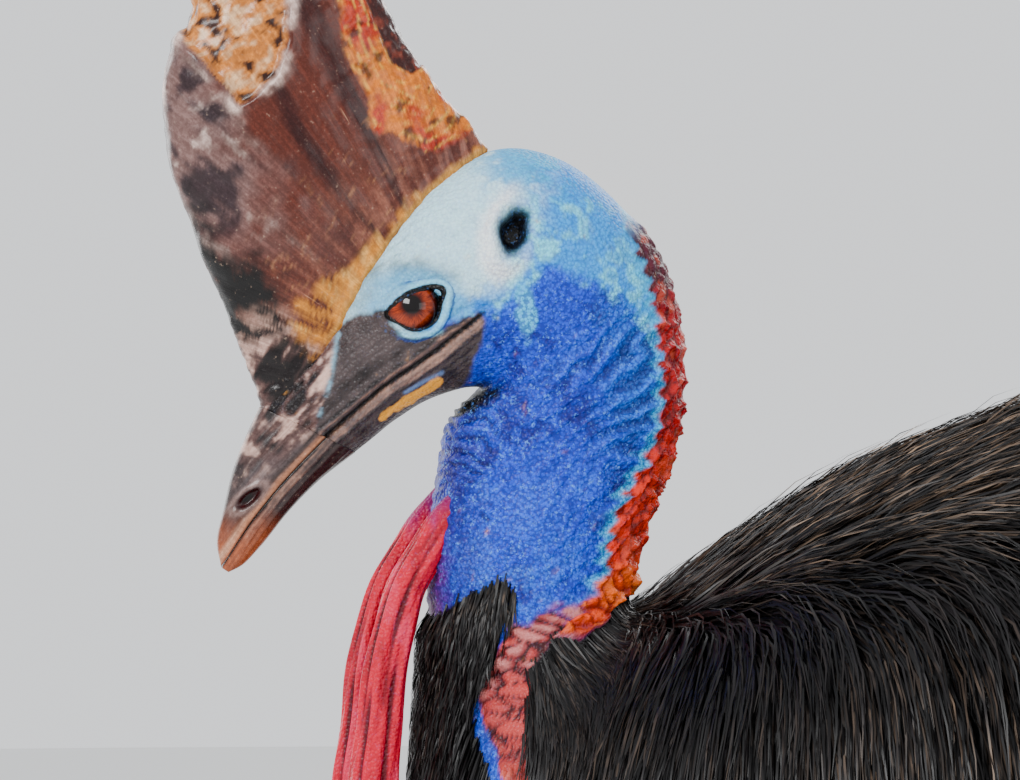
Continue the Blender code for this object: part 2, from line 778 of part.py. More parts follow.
def build_casque():
    """The helmet, seated on the skull and the root of the bill."""
    casque = loft("casque", sections(CASQUE, 0, len(CASQUE) - 1, 11, 14, 2.2, 0, 0))
    bill = bill_rings(0, 0)
    face = loft("face", bill[:0:-1] + skull_rings(0, 0))
    cut(casque, copy_of(face, GAP))
    bpy.data.objects.remove(face)
    return casque


def wattle_fold(share, angle):
    """Lengthwise folds, which fade out at both ends."""
    return 1 + WATTLE_FOLD_DEPTH * math.sin(math.pi * share) * np.cos(WATTLE_FOLDS * angle + 5 * share)


def build_wattles(neck_forms):
    """The two hanging lobes, seated on the throat."""
    rows = monotone([(*p, w, t) for p, w, t in WATTLE], np.linspace(0, len(WATTLE) - 1, 11))
    wattles = []
    for side, name, shift in ((1, "wattle_left", 0.0), (-1, "wattle_right", RIGHT_WATTLE_SHIFT)):
        centres = [(side * WATTLE_X, y + shift, z) for y, z, _, _ in rows]
        wattle = limb(name, centres, rows[:, 2], rows[:, 3], 10, fold=wattle_fold)
        for form in neck_forms:
            cut(wattle, copy_of(form, GAP))
        cut(wattle, *neck_pieces(GAP), solver="MANIFOLD")
        wattles.append(wattle)
    return wattles


def caruncles():
    """Small bulbs on both sides of the hind neck."""
    surface = coated(BODY, 2.0, neck_share)
    places = np.linspace(NECK_MIDDLE, NECK_END, 60)
    turns = np.radians(np.linspace(20, 100, 60))
    where = surface(places[:, None], turns[None, :], 0.0)
    made = []
    for y, z, count in CARUNCLE_ROWS:
        for j in range(count):
            target = np.array((y + CARUNCLE_PITCH * (j - (count - 1) / 2), z))
            found = where[np.argmin(np.linalg.norm(where[:, 1:] - target, axis=1))]
            for side in (1, -1):
                centre = (found[0] * side, found[1], found[2])
                made.append(ellipsoid("bulb", centre, CARUNCLE_SIZE, segments=6, rings=3))
    return made


def leg_points(side):
    """The knee, hock and ankle on one side, a step apart."""
    shift = Vector((0, -STEP if side > 0 else STEP, 0))
    ankle = ANKLE + shift
    hock = HOCK + shift * 0.7
    knee = KNEE + shift * 0.3
    return [Vector((p.x * side, p.y, p.z)) for p in (knee, hock, ankle)]


def scute(top, bottom, out, across, half_top, half_bottom):
    """A horny plate that stands up at its lower edge, over the next one."""
    rings = []
    lip = bottom + unit(bottom - top) * SCUTE_RISE
    for centre, half, rise in ((top, half_top, 0.2), (bottom, half_bottom, 1.0), (lip, half_bottom, 0.1)):
        low = centre - out * SCUTE_SUNK
        high = centre + out * SCUTE_RISE * rise
        edge = across * half
        rings.append(np.array([low - edge, high - edge * 0.5, high + edge * 0.5, low + edge]))
    return loft("scute", rings)


def build_shank(side, name):
    """The bare shin below the coat, the hock and the tarsus with its plates."""
    knee, hock, ankle = leg_points(side)
    rows = [(knee.lerp(hock, share), depth, width) for share, depth, width in SHIN]
    rows += [(hock.lerp(ankle, share), depth, width) for share, depth, width in TARSUS]
    table = monotone([(*c, d, w) for c, d, w in rows], np.linspace(0, len(rows) - 1, 13))
    shank = limb(name, table[:, :3], table[:, 3], table[:, 4], 9)
    way = unit(np.array(ankle - hock))
    across = unit(np.array((1.0, 0.0, 0.0)) - way[0] * way)
    out = np.cross(way, across)
    shares = np.linspace(*TARSUS_PLATED, TARSUS_SCUTES + 1)
    down, depths, widths = np.array(TARSUS).T
    plates = []
    for start, end in zip(shares[:-1], shares[1:]):
        ends = []
        for share in (start, end):
            centre = np.array(hock.lerp(ankle, share)) + out * np.interp(share, down, depths)
            ends.append((centre, np.interp(share, down, widths) * TARSUS_PLATE_WIDTH))
        plates.append(scute(ends[0][0], ends[1][0], out, across, ends[0][1], ends[1][1]))
    fuse(shank, *plates, solver="MANIFOLD")
    return shank


def toe_path(side, toe):
    """The middle line of a toe, from over the ankle's foot to the claw, with its half thickness."""
    _, _, ankle = leg_points(side)
    way = Vector((side * math.sin(toe.turn), -math.cos(toe.turn), 0))
    rows = []
    for share in TOE_RINGS:
        thick = toe.root + (toe.tip - toe.root) * share
        pad = 1.0 + TOE_PAD_SWELL * math.cos(share * TOE_PADS * 2 * math.pi)
        arch = (TOE_ARCH + toe.root * 0.4) * (1 - share) ** 3
        height = thick * pad - PAD + arch
        place = Vector((ankle.x, ankle.y, 0)) + way * (toe.length * share)
        rows.append((place.x, place.y, height, thick * pad))
    return np.array(rows), way


def toe_plates(rows, way):
    """The plates along the top of one toe."""
    way = np.array(way)
    across = np.cross(way, (0.0, 0.0, 1.0))
    reach = np.linspace(0, 1, len(rows))
    plates = []
    edges = np.linspace(*TOE_PLATED, TOE_SCUTES + 1)
    for start, end in zip(edges[:-1], edges[1:]):
        ends = []
        for share in (start, end):
            x, y, z, thick = (np.interp(share, reach, rows[:, i]) for i in range(4))
            ends.append((np.array((x, y, z + thick * TOE_PLATE_SEAT)), thick * TOE_PLATE_WIDTH))
        out = unit(np.cross(across, ends[1][0] - ends[0][0]))
        out = out * np.sign(out[2])
        plates.append(scute(ends[0][0], ends[1][0], out, across, ends[0][1], ends[1][1]))
    return plates


def build_foot(side, name, shank):
    """The sole and three toes with their plates, flat where they press on the floor."""
    _, _, ankle = leg_points(side)
    foot = ellipsoid(name, (ankle.x, ankle.y, 0.026), FOOT_BALL, segments=9, rings=5)
    pieces = []
    for toe in TOES:
        rows, way = toe_path(side, toe)
        pieces.append(limb("toe", rows[:, :3], rows[:, 3], rows[:, 3] * 0.95, 8))
        pieces += toe_plates(rows, way)
    fuse(foot, *pieces, solver="MANIFOLD")
    cut(foot, floor_slab(0.0), solver="MANIFOLD")
    cut(foot, copy_of(shank, GAP), solver="MANIFOLD")
    return foot


def build_claw(side, toe, name, foot):
    """A claw that leaves its toe and tapers to a blunt point."""
    rows, way = toe_path(side, toe)
    tip = Vector(rows[-1, :3])
    thick = rows[-1, 3]
    back = tip - way * CLAW_SEAT
    centres, sizes = [], []
    for share in np.linspace(0, 1, 6):
        reach = (toe.claw + CLAW_SEAT) * share
        lift = toe.rise * math.sin(share * math.pi / 2)
        size = thick * 0.80 * (1 - share) ** 0.8 + CLAW_TIP
        drop = (tip.z - CLAW_CLEAR - size) if toe.rise == 0 else tip.z * 0.35
        height = tip.z - drop * share**1.5 + lift
        centres.append((back.x + way.x * reach, back.y + way.y * reach, height))
        sizes.append(size)
    claw = limb(name, centres, sizes, np.array(sizes) * 0.8, 8)
    cut(claw, floor_slab(CLAW_CLEAR), solver="MANIFOLD")
    cut(claw, copy_of(foot, GAP), solver="MANIFOLD")
    return claw


def wing_pieces(side, name, grow):
    """The stub of the wing on the core, and its long bare quills over the coat."""
    surface = coated(TRUNK, TRUNK_FULLNESS, trunk_share)
    root = surface(WING_PLACE, side * WING_ANGLE, STUB_HEIGHT)[0]
    stub = ellipsoid(name, root, [s + grow for s in WING_STUB], segments=10, rings=6)
    quills = []
    for i in range(QUILLS):
        share = i / (QUILLS - 1)
        turn = WING_ANGLE + QUILL_TURN * (i % 2)
        start = (WING_PLACE - 0.15 + QUILL_SPREAD * share, side * turn)
        length = QUILL_LENGTH * (1 - 0.12 * abs(share - 0.4))
        path, _ = lie_path(surface, quill_lie, start, len(TRUNK) - 1, length)
        along = np.linspace(0, len(path) - 1, 5)
        base = np.arange(len(path))
        place, angle = np.interp(along, base, path[:, 0]), np.interp(along, base, path[:, 1])
        inner, outer = surface(place, angle, QUILL_ROOT), surface(place, angle, TIPS)
        depth = np.linalg.norm(outer - inner, axis=1)[:, None]
        outer = outer + (outer - inner) * QUILL_OVER / depth
        rise = np.minimum(np.linspace(0, 1, 5) * QUILL_RISE, 1.0)[:, None]
        sizes = QUILL_RADIUS * (1 - QUILL_TAPER * np.linspace(0, 1, 5)) + grow
        quills.append(limb("quill", inner * (1 - rise) + outer * rise, sizes, sizes, 5))
    return stub, quills


def quill_lie(place, angle):
    """The quills hang down and back."""
    return np.array((0.0, 0.42, -1.0))


def keep_largest(thing):
    """Drops every closed surface but the largest."""
    form = bmesh.new()
    form.from_mesh(thing.data)
    left = set(form.verts)
    groups = []
    while left:
        queue = [left.pop()]
        group = list(queue)
        while queue:
            for edge in queue.pop().link_edges:
                for vertex in edge.verts:
                    if vertex in left:
                        left.discard(vertex)
                        queue.append(vertex)
                        group.append(vertex)
        groups.append(group)
    groups.sort(key=len)
    for group in groups[:-1]:
        bmesh.ops.delete(form, geom=group, context="VERTS")
    form.to_mesh(thing.data)
    form.free()


def main():
    """Clears the file and builds the bird."""
    for thing in list(bpy.data.objects):
        bpy.data.objects.remove(thing)
    made = []

    head, eyes = build_head()
    made += [(head, PALE_BLUE), *((eye, AMBER) for eye in eyes)]
    made += [(part, HORN) for part in build_bill()]
    made.append((build_casque(), BROWN))

    torso = trunk_core("torso", 0, TAIL_START, 11)
    tail = trunk_core("tail", TAIL_START, TAIL_CORE_END, 4)
    neck_upper = loft("neck_upper", sections(BODY, HEAD_END, NECK_MIDDLE, 7, 16))
    neck_lower = neck_core()
    made += [(neck_upper, BLUE), (neck_lower, BLUE)]
    made += [(part, PINK) for part in build_wattles((neck_upper, neck_lower, head))]

    # What the torso's locks lie over is cut out of them, but only where it is outside the core.
    over = [copy_of(neck_lower, GAP), *neck_pieces(GAP), copy_of(tail, GAP), *tail_pieces(GAP)]
    body = copy_of(torso, GAP * 0.9)
    fuse(neck_lower, *neck_pieces(0.0), *caruncles(), solver="MANIFOLD")
    cut(neck_lower, copy_of(neck_upper, GAP * 0.9), copy_of(body), solver="MANIFOLD")
    fuse(tail, *tail_pieces(0.0), solver="MANIFOLD")
    cut(tail, copy_of(body), solver="MANIFOLD")

    for side, tag in ((1, "left"), (-1, "right")):
        wing, quills = wing_pieces(side, "wing_" + tag, 0.0)
        fuse(wing, *quills, solver="MANIFOLD")
        cut(wing, copy_of(body), solver="MANIFOLD")
        stub, quills = wing_pieces(side, "stub", GAP)
        over += [stub, *quills]
        thigh = thigh_core(side, "thigh_" + tag)
        over += [copy_of(thigh, GAP), *thigh_pieces(side, GAP)]
        shank = build_shank(side, "shank_" + tag)
        cut(shank, copy_of(thigh, GAP), *thigh_pieces(side, GAP), solver="MANIFOLD")
        keep_largest(shank)
        fuse(thigh, *thigh_pieces(side, 0.0), solver="MANIFOLD")
        cut(thigh, copy_of(body), solver="MANIFOLD")
        foot = build_foot(side, "foot_" + tag, shank)
        made += [(wing, HORN), (thigh, BLACK), (shank, LEG_GREY), (foot, LEG_GREY)]
        for toe in TOES:
            made.append((build_claw(side, toe, f"claw_{toe.name}_{tag}", foot), HORN))

    inner = copy_of(torso, GAP / 2)
    fuse(torso, *torso_pieces(0.0), solver="MANIFOLD")
    cutter = over.pop()
    fuse(cutter, *over, solver="MANIFOLD")
    cut(cutter, inner, solver="MANIFOLD")
    cut(torso, cutter, solver="MANIFOLD")
    bpy.data.objects.remove(body)
    made += [(torso, BLACK), (tail, BLACK)]

    bird = bpy.data.collections.new("cassowary")
    bpy.context.scene.collection.children.link(bird)
    for thing, colour in made:
        keep_largest(thing)
        finish(thing, colour)
        bpy.context.scene.collection.objects.unlink(thing)
        bird.objects.link(thing)


main()
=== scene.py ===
"""Dresses a life-size cassowary: bare skin, casque, bill, eyes, wattles, legs and coat.

Metres, +Z up. The bird faces -Y and its left side is +X. Every surface is a function of two
parameters worked out as whole arrays. A station is one cross-section of the body: its upper and
lower points in the median plane, its half width, the depth of its coat and how boxy it is.
"""

import logging
import math
from collections.abc import Callable
from dataclasses import dataclass, field
from enum import Enum

import bmesh
import bpy
import numpy as np
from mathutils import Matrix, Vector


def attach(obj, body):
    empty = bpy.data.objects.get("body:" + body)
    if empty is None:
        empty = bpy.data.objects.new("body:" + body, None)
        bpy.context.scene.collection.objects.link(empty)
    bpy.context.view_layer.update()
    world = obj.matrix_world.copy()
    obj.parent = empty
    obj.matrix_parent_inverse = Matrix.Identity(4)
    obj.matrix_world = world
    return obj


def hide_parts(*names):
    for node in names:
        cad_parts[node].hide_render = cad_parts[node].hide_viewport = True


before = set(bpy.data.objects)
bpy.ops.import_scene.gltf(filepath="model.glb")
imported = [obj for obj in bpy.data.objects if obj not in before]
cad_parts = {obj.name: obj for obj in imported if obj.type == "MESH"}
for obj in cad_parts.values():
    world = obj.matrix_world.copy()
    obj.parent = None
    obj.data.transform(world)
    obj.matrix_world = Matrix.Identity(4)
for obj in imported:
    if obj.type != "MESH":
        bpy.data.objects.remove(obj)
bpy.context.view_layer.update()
LOG = logging.getLogger("cassowary")
Array = np.ndarray


def linear(red: int, green: int, blue: int) -> tuple[float, float, float]:
    """Surface colour for a display colour given in 0 to 255.

    The scene-linear value is raised to 1.3 and dimmed, which offsets the softening of the view.
    """
    parts = np.array((red, green, blue)) / 255.0
    scene = np.where(parts <= 0.04045, parts / 12.92, ((parts + 0.055) / 1.055) ** 2.4)
    return tuple((0.86 * scene**1.3).tolist())


def monotone(rows: Array, at: Array) -> Array:
    """A cubic curve through rows that never swings past them.

    Args:
        rows: One row for each whole place.
        at: The places to read.
    Returns:
        The values there; slopes are the harmonic means of the steps on both sides.
    """
    rows = np.asarray(rows, float)
    step = np.diff(rows, axis=0)
    before, after = step[:-1], step[1:]
    same_way = before * after > 0
    slope = np.zeros_like(rows)
    total = np.where(same_way, before + after, 1.0)
    slope[1:-1] = np.where(same_way, 2 * before * after / total, 0.0)
    slope[0], slope[-1] = step[0], step[-1]
    at = np.atleast_1d(np.asarray(at, float))
    i = np.clip(at.astype(int), 0, len(rows) - 2)
    t = (at - i)[:, None]
    start = rows[i] * (2 * t**3 - 3 * t**2 + 1) + slope[i] * (t**3 - 2 * t**2 + t)
    return start + rows[i + 1] * (3 * t**2 - 2 * t**3) + slope[i + 1] * (t**3 - t**2)


def smooth(low: float, high: float, value: Array) -> Array:
    """A smooth step from 0 at low to 1 at high: 3t^2 - 2t^3."""
    t = np.clip((value - low) / (high - low), 0, 1)
    return t * t * (3 - 2 * t)


def bell(value: Array, width: float) -> Array:
    """1 where a value is 0, falling off on both sides: exp(-(value / width)^2)."""
    return np.exp(-((value / width) ** 2))


def signed_power(value: Array, power: float | Array) -> Array:
    """The power of the size of a value, with the value's sign."""
    return np.sign(value) * np.abs(value) ** power


def unit(vectors: Array) -> Array:
    """Vectors of the same direction with length 1, along the last axis."""
    return vectors / np.maximum(np.linalg.norm(vectors, axis=-1, keepdims=True), 1e-12)


def scatter(cells: Array, salt: int) -> Array:
    """A repeatable draw from 0 to 1 for each row of whole numbers.

    Args:
        cells: Whole numbers, the last axis being a cell's three indices.
        salt: Another number gives another draw.
    Returns:
        The fraction of a large sine, a common hash.
    """
    mixed = cells @ np.array((127.1, 311.7, 74.7)) + salt * 19.19
    return np.modf(np.abs(np.sin(mixed) * 43758.5453))[0]


def cloud(points: Array, size: float, salt: int = 0) -> Array:
    """Smooth noise from -1 to 1: draws at the corners of cubes of this size, blended between them.

    Args:
        points: Where to read.
        size: The width of the cubes.
        salt: Another number gives another draw.
    Returns:
        Noise from -1 to 1.
    """
    place = points / size
    cell = np.floor(place)
    t = place - cell
    t = t * t * (3 - 2 * t)
    total = np.zeros(len(points))
    for corner in np.ndindex(2, 2, 2):
        corner = np.array(corner)
        weight = np.prod(np.where(corner == 1, t, 1 - t), axis=1)
        total += weight * scatter(cell + corner, salt)
    return total * 2 - 1


def layered(points: Array, size: float, salt: int = 0, layers: int = 3) -> Array:
    """Clouds of halving size and strength, added up."""
    return sum(cloud(points, size / 2**i, salt + i) / 2**i for i in range(layers))


def cells(points: Array, size: float, salt: int = 0) -> tuple[Array, Array]:
    """Rounded cells about as wide as size, such as pebbled skin.

    Args:
        points: Where to read.
        size: The pitch of the cells.
        salt: Another number gives another pattern.
    Returns:
        How far inside its cell a point lies, from 0 on the seam, and a draw for that cell.
    """
    place = points / size
    home = np.floor(place)
    nearest = np.full(len(points), 9.0)
    second = np.full(len(points), 9.0)
    tone = np.zeros(len(points))
    for shift in np.ndindex(3, 3, 3):
        cell = home + np.array(shift) - 1
        seed = cell + np.column_stack([scatter(cell, salt + k) for k in range(3)])
        gap = np.linalg.norm(seed - place, axis=1)
        closer = gap < nearest
        second = np.where(closer, nearest, np.minimum(second, gap))
        nearest = np.where(closer, gap, nearest)
        tone = np.where(closer, scatter(cell, salt + 7), tone)
    return second - nearest, tone


def line_distance(points: Array, line: tuple | Array) -> Array:
    """Signed distance from a bent line, seen from the side.

    Args:
        points: Places whose last two columns are y and z.
        line: The line's corners as (y, z).
    Returns:
        Distances, positive on the line's left as it runs. The nearest stretch is found by
        dropping a perpendicular on each one.
    """
    line, points = np.asarray(line, float), points[:, -2:]
    best = np.full(len(points), 1e9)
    signed = np.zeros(len(points))
    for a, b in zip(line[:-1], line[1:]):
        way = b - a
        share = np.clip(((points - a) @ way) / (way @ way), 0, 1)
        off = points - (a + share[:, None] * way)
        gap = np.linalg.norm(off, axis=1)
        side = np.sign(way[0] * (points - a)[:, 1] - way[1] * (points - a)[:, 0])
        closer = gap < best
        best = np.where(closer, gap, best)
        signed = np.where(closer, side * gap, signed)
    return signed


def oval_distance(points: Array, centre: tuple, half: tuple, tilt: float = 0.0) -> Array:
    """How far points lie from a centre, seen from the side and counted in an oval's half sizes.

    Args:
        points: Places whose last two columns are y and z.
        centre: The oval's middle as (y, z).
        half: Its half sizes.
        tilt: How far it is turned, in radians.
    Returns:
        Distances, 1 on the rim.
    """
    off = points[:, -2:] - np.array(centre)
    turn = np.array(((math.cos(tilt), -math.sin(tilt)), (math.sin(tilt), math.cos(tilt))))
    return np.linalg.norm(off @ turn / np.array(half), axis=1)


def closed_curve(table: Array, share: Array) -> Array:
    """Points on a closed curve through a table's rows, which come round once as share runs to 1.

    Between two rows it is the Catmull-Rom cubic of the four rows about them.

    Args:
        table: The curve's rows.
        share: How far round to read, from 0 to 1.
    Returns:
        A row for each share.
    """
    table = np.asarray(table, float)
    count = len(table)
    at = np.mod(share, 1.0) * count
    i = at.astype(int) % count
    t = (at - np.floor(at))[:, None]
    a, b, c, d = (table[(i + k) % count] for k in (-1, 0, 1, 2))
    square, cube = 2 * a - 5 * b + 4 * c - d, 3 * b - a - 3 * c + d
    return 0.5 * (2 * b + (c - a) * t + square * t**2 + cube * t**3)


def ring_normals(points: Array) -> Array:
    """Unit normals of rings of points that face away from the middle of each ring.

    Args:
        points: Rings of shape rows, columns, 3.
    Returns:
        A normal for each point, in one list.
    """
    along = np.gradient(points, axis=0)
    around = np.roll(points, -1, axis=1) - np.roll(points, 1, axis=1)
    normal = unit(np.cross(along, around))
    away = points - points.mean(axis=1, keepdims=True)
    return (normal * np.sign((normal * away).sum(axis=-1, keepdims=True))).reshape(-1, 3)


def flood(points: Array, colour: tuple[int, int, int]) -> Array:
    """One display colour for each of these points."""
    return np.tile(linear(*colour), (len(points), 1))


def blend(base: Array, colour: tuple[int, int, int] | Array, mask: Array) -> Array:
    """Lays a colour over others.

    Args:
        base: A colour for each point.
        colour: A display colour given in 0 to 255, or a surface colour for each point.
        mask: How much of it is laid, from 0 to 1.
    Returns:
        The weighted means.
    """
    over = np.array(linear(*colour)) if isinstance(colour, tuple) else colour
    mask = np.clip(mask, 0, 1)[:, None]
    return base * (1 - mask) + over * mask


def full_turn(count: int) -> Array:
    """Even angles of a full turn, its end left out."""
    return np.arange(count) * 2 * math.pi / count


def ball(rows: int, columns: int, radii: tuple[float, float, float]) -> Array:
    """A grid of points on an oval ball about the Z axis, whose poles are its end rows.

    Args:
        rows: Rings from the upper pole to the lower.
        columns: Points in a ring.
        radii: Half sizes along x, y and z.
    Returns:
        Points: x and y as the sine of the polar angle times the cosine and sine of the turn, and
        z as its cosine, each by its radius.
    """
    polar, turn = np.linspace(0, math.pi, rows)[:, None], full_turn(columns)[None]
    x, y = radii[0] * np.sin(polar) * np.cos(turn), radii[1] * np.sin(polar) * np.sin(turn)
    return np.stack(np.broadcast_arrays(x, y, radii[2] * np.cos(polar)), axis=-1)


@dataclass
class Shape:
    """A mesh in the making: grids of points joined into one object."""

    name: str
    points: list = field(default_factory=list)
    quads: list = field(default_factory=list)
    triangles: list = field(default_factory=list)
    values: dict = field(default_factory=dict)
    places: list = field(default_factory=list)
    count: int = 0

    def grid(
        self, points: Array, round_it: bool = True, ends: tuple = (True, True), **values: Array
    ) -> None:
        """Adds a surface of rows and columns.

        Args:
            points: Places of shape rows, columns, 3.
            round_it: The last column joins the first.
            ends: Whether the first and last rows are closed with a fan to their middle.
            values: Named values for each point, of shape rows, columns or rows, columns, 3.
        """
        rows, columns = points.shape[:2]
        flat = points.reshape(-1, 3)
        across = np.arange(columns if round_it else columns - 1)
        down = np.arange(rows - 1)[:, None]
        right = (across + 1) % columns
        corner = [down * columns + across, down * columns + right]
        corner += [(down + 1) * columns + right, (down + 1) * columns + across]
        quads = np.stack(corner, axis=-1).reshape(-1, 4)
        fans = []
        extra = []
        for use, row in zip(ends, (0, rows - 1)):
            if use and round_it:
                hub = len(flat) + len(extra)
                extra.append(points[row].mean(axis=0))
                rim = row * columns + np.arange(columns)
                pair = (rim, np.roll(rim, -1)) if row else (np.roll(rim, -1), rim)
                fans.append(np.stack((*pair, np.full(columns, hub)), axis=-1))
        flat = np.concatenate((flat, np.array(extra).reshape(-1, 3)))
        fans = np.concatenate(fans) if fans else np.zeros((0, 3), int)
        if len(extra) == 2 and self.volume(flat, quads, fans) < 0:
            quads, fans = quads[:, ::-1], fans[:, ::-1]
        self.quads.append(quads + self.count)
        self.triangles.append(fans + self.count)
        self.points.append(flat)
        self.count += len(flat)
        closed = [row for use, row in zip(ends, (0, -1)) if use and round_it]
        for key, value in values.items():
            wide = value.reshape(rows * columns, -1)
            caps = [value[row].reshape(columns, -1).mean(axis=0) for row in closed]
            wide = np.concatenate((wide, np.array(caps).reshape(len(extra), wide.shape[1])))
            self.values.setdefault(key, []).append(wide)

    @staticmethod
    def volume(points: Array, quads: Array, triangles: Array) -> float:
        """Six times the signed volume inside a closed surface, by the divergence of its faces.

        Args:
            points: Places.
            quads: Their indices in fours.
            triangles: Their indices in threes.
        Returns:
            The volume, below 0 where the faces point inwards.
        """
        faces = np.concatenate((quads[:, [0, 1, 2]], quads[:, [0, 2, 3]], triangles))
        a, b, c = (points[faces[:, i]] for i in range(3))
        return float((a * np.cross(b, c)).sum())

    def build(self) -> bpy.types.Object:
        """Makes the object, smooth shaded, with its values as attributes."""
        points = np.concatenate(self.points)
        quads = np.concatenate(self.quads)
        triangles = np.concatenate(self.triangles)
        mesh = bpy.data.meshes.new(self.name)
        mesh.vertices.add(len(points))
        mesh.vertices.foreach_set("co", points.astype(np.float32).ravel())
        corners = np.concatenate((quads.ravel(), triangles.ravel())).astype(np.int32)
        mesh.loops.add(len(corners))
        mesh.loops.foreach_set("vertex_index", corners)
        sizes = np.concatenate((np.full(len(quads), 4), np.full(len(triangles), 3)))
        starts = np.concatenate(((0,), np.cumsum(sizes)[:-1])).astype(np.int32)
        mesh.polygons.add(len(sizes))
        mesh.polygons.foreach_set("loop_start", starts)
        mesh.update(calc_edges=True)
        mesh.validate()
        mesh.shade_smooth()
        for key, parts in self.values.items():
            value = np.concatenate(parts)
            if value.shape[1] == 3:
                value = np.column_stack((value, np.ones(len(value))))
                layer = mesh.attributes.new(key, "FLOAT_COLOR", "POINT")
                layer.data.foreach_set("color", value.astype(np.float32).ravel())
            else:
                layer = mesh.attributes.new(key, "FLOAT", "POINT")
                layer.data.foreach_set("value", value.astype(np.float32).ravel())
        if self.places:
            layer = mesh.uv_layers.new(name="OFBake")
            spots = np.concatenate(self.places)[corners]
            layer.data.foreach_set("uv", spots.astype(np.float32).ravel())
        piece = bpy.data.objects.new(self.name, mesh)
        bpy.context.scene.collection.objects.link(piece)
        return piece


def oval_rings(tops: Array, lows: Array, widths: Array, angle: Array, fullness: float | Array) -> Array:
    """Rings of points: each is an oval between its upper and lower points, as wide as given.

    Args:
        tops: Upper points in the median plane, (y, z).
        lows: Lower points.
        widths: Half widths.
        angle: Angles from the upper point round the left side.
        fullness: 2 is an ellipse, and above 2 the oval is boxier.
    Returns:
        Points of shape rows, angles, 3.
    """
    power = 2 / np.broadcast_to(np.asarray(fullness, float), (len(tops),))[:, None]
    along, across = signed_power(np.cos(angle), power), signed_power(np.sin(angle), power)
    middle, half = (tops + lows) / 2, (tops - lows) / 2
    yz = middle[:, None] + along[..., None] * half[:, None]
    return np.concatenate(((across * widths[:, None])[..., None], yz), axis=-1)


def tube(centres: Array, depths: Array, widths: Array, sides: int, swell: Array | None = None) -> Array:
    """Rings square to a bent line: its tangent gives each ring's plane.

    Args:
        centres: Points along the line.
        depths: Half sizes fore and aft.
        widths: Half sizes to each side.
        sides: Points in a ring.
        swell: Factors on the size of each ring point.
    Returns:
        Points of shape centres, sides, 3.
    """
    way = unit(np.gradient(centres, axis=0))
    sideways = unit(np.array((1.0, 0.0, 0.0)) - way[:, :1] * way)
    front = np.cross(sideways, way)
    turn = full_turn(sides)
    swell = np.ones((len(centres), sides)) if swell is None else swell
    along = np.cos(turn) * depths[:, None] * swell
    across = np.sin(turn) * widths[:, None] * swell
    return centres[:, None] + along[..., None] * front[:, None] + across[..., None] * sideways[:, None]


class Value:
    """One output of a shader node. Arithmetic on it adds Math nodes."""

    def __init__(self, graph: "Graph", socket: bpy.types.NodeSocket) -> None:
        """Holds the socket and the graph that it belongs to."""
        self.graph = graph
        self.socket = socket

    def math(self, operation: str, *inputs: "Value | float") -> "Value":
        """A Math node of these inputs."""
        node = self.graph.node("ShaderNodeMath", {"operation": operation}, dict(enumerate(inputs)))
        return Value(self.graph, node.outputs[0])

    def __add__(self, other: "Value | float") -> "Value":
        """Sum."""
        return self.math("ADD", self, other)

    def __radd__(self, other: float) -> "Value":
        """Sum with a number first."""
        return self.math("ADD", other, self)

    def __sub__(self, other: "Value | float") -> "Value":
        """Difference."""
        return self.math("SUBTRACT", self, other)

    def __rsub__(self, other: float) -> "Value":
        """Difference with a number first."""
        return self.math("SUBTRACT", other, self)

    def __mul__(self, other: "Value | float") -> "Value":
        """Product."""
        return self.math("MULTIPLY", self, other)

    def __rmul__(self, other: float) -> "Value":
        """Product with a number first."""
        return self.math("MULTIPLY", other, self)

    def between(self, low: float, high: float) -> "Value":
        """A smooth step from 0 at low to 1 at high."""
        settings = {"interpolation_type": "SMOOTHSTEP"}
        sockets = {"Value": self, "From Min": low, "From Max": high}
        node = self.graph.node("ShaderNodeMapRange", settings, sockets)
        return Value(self.graph, node.outputs[0])


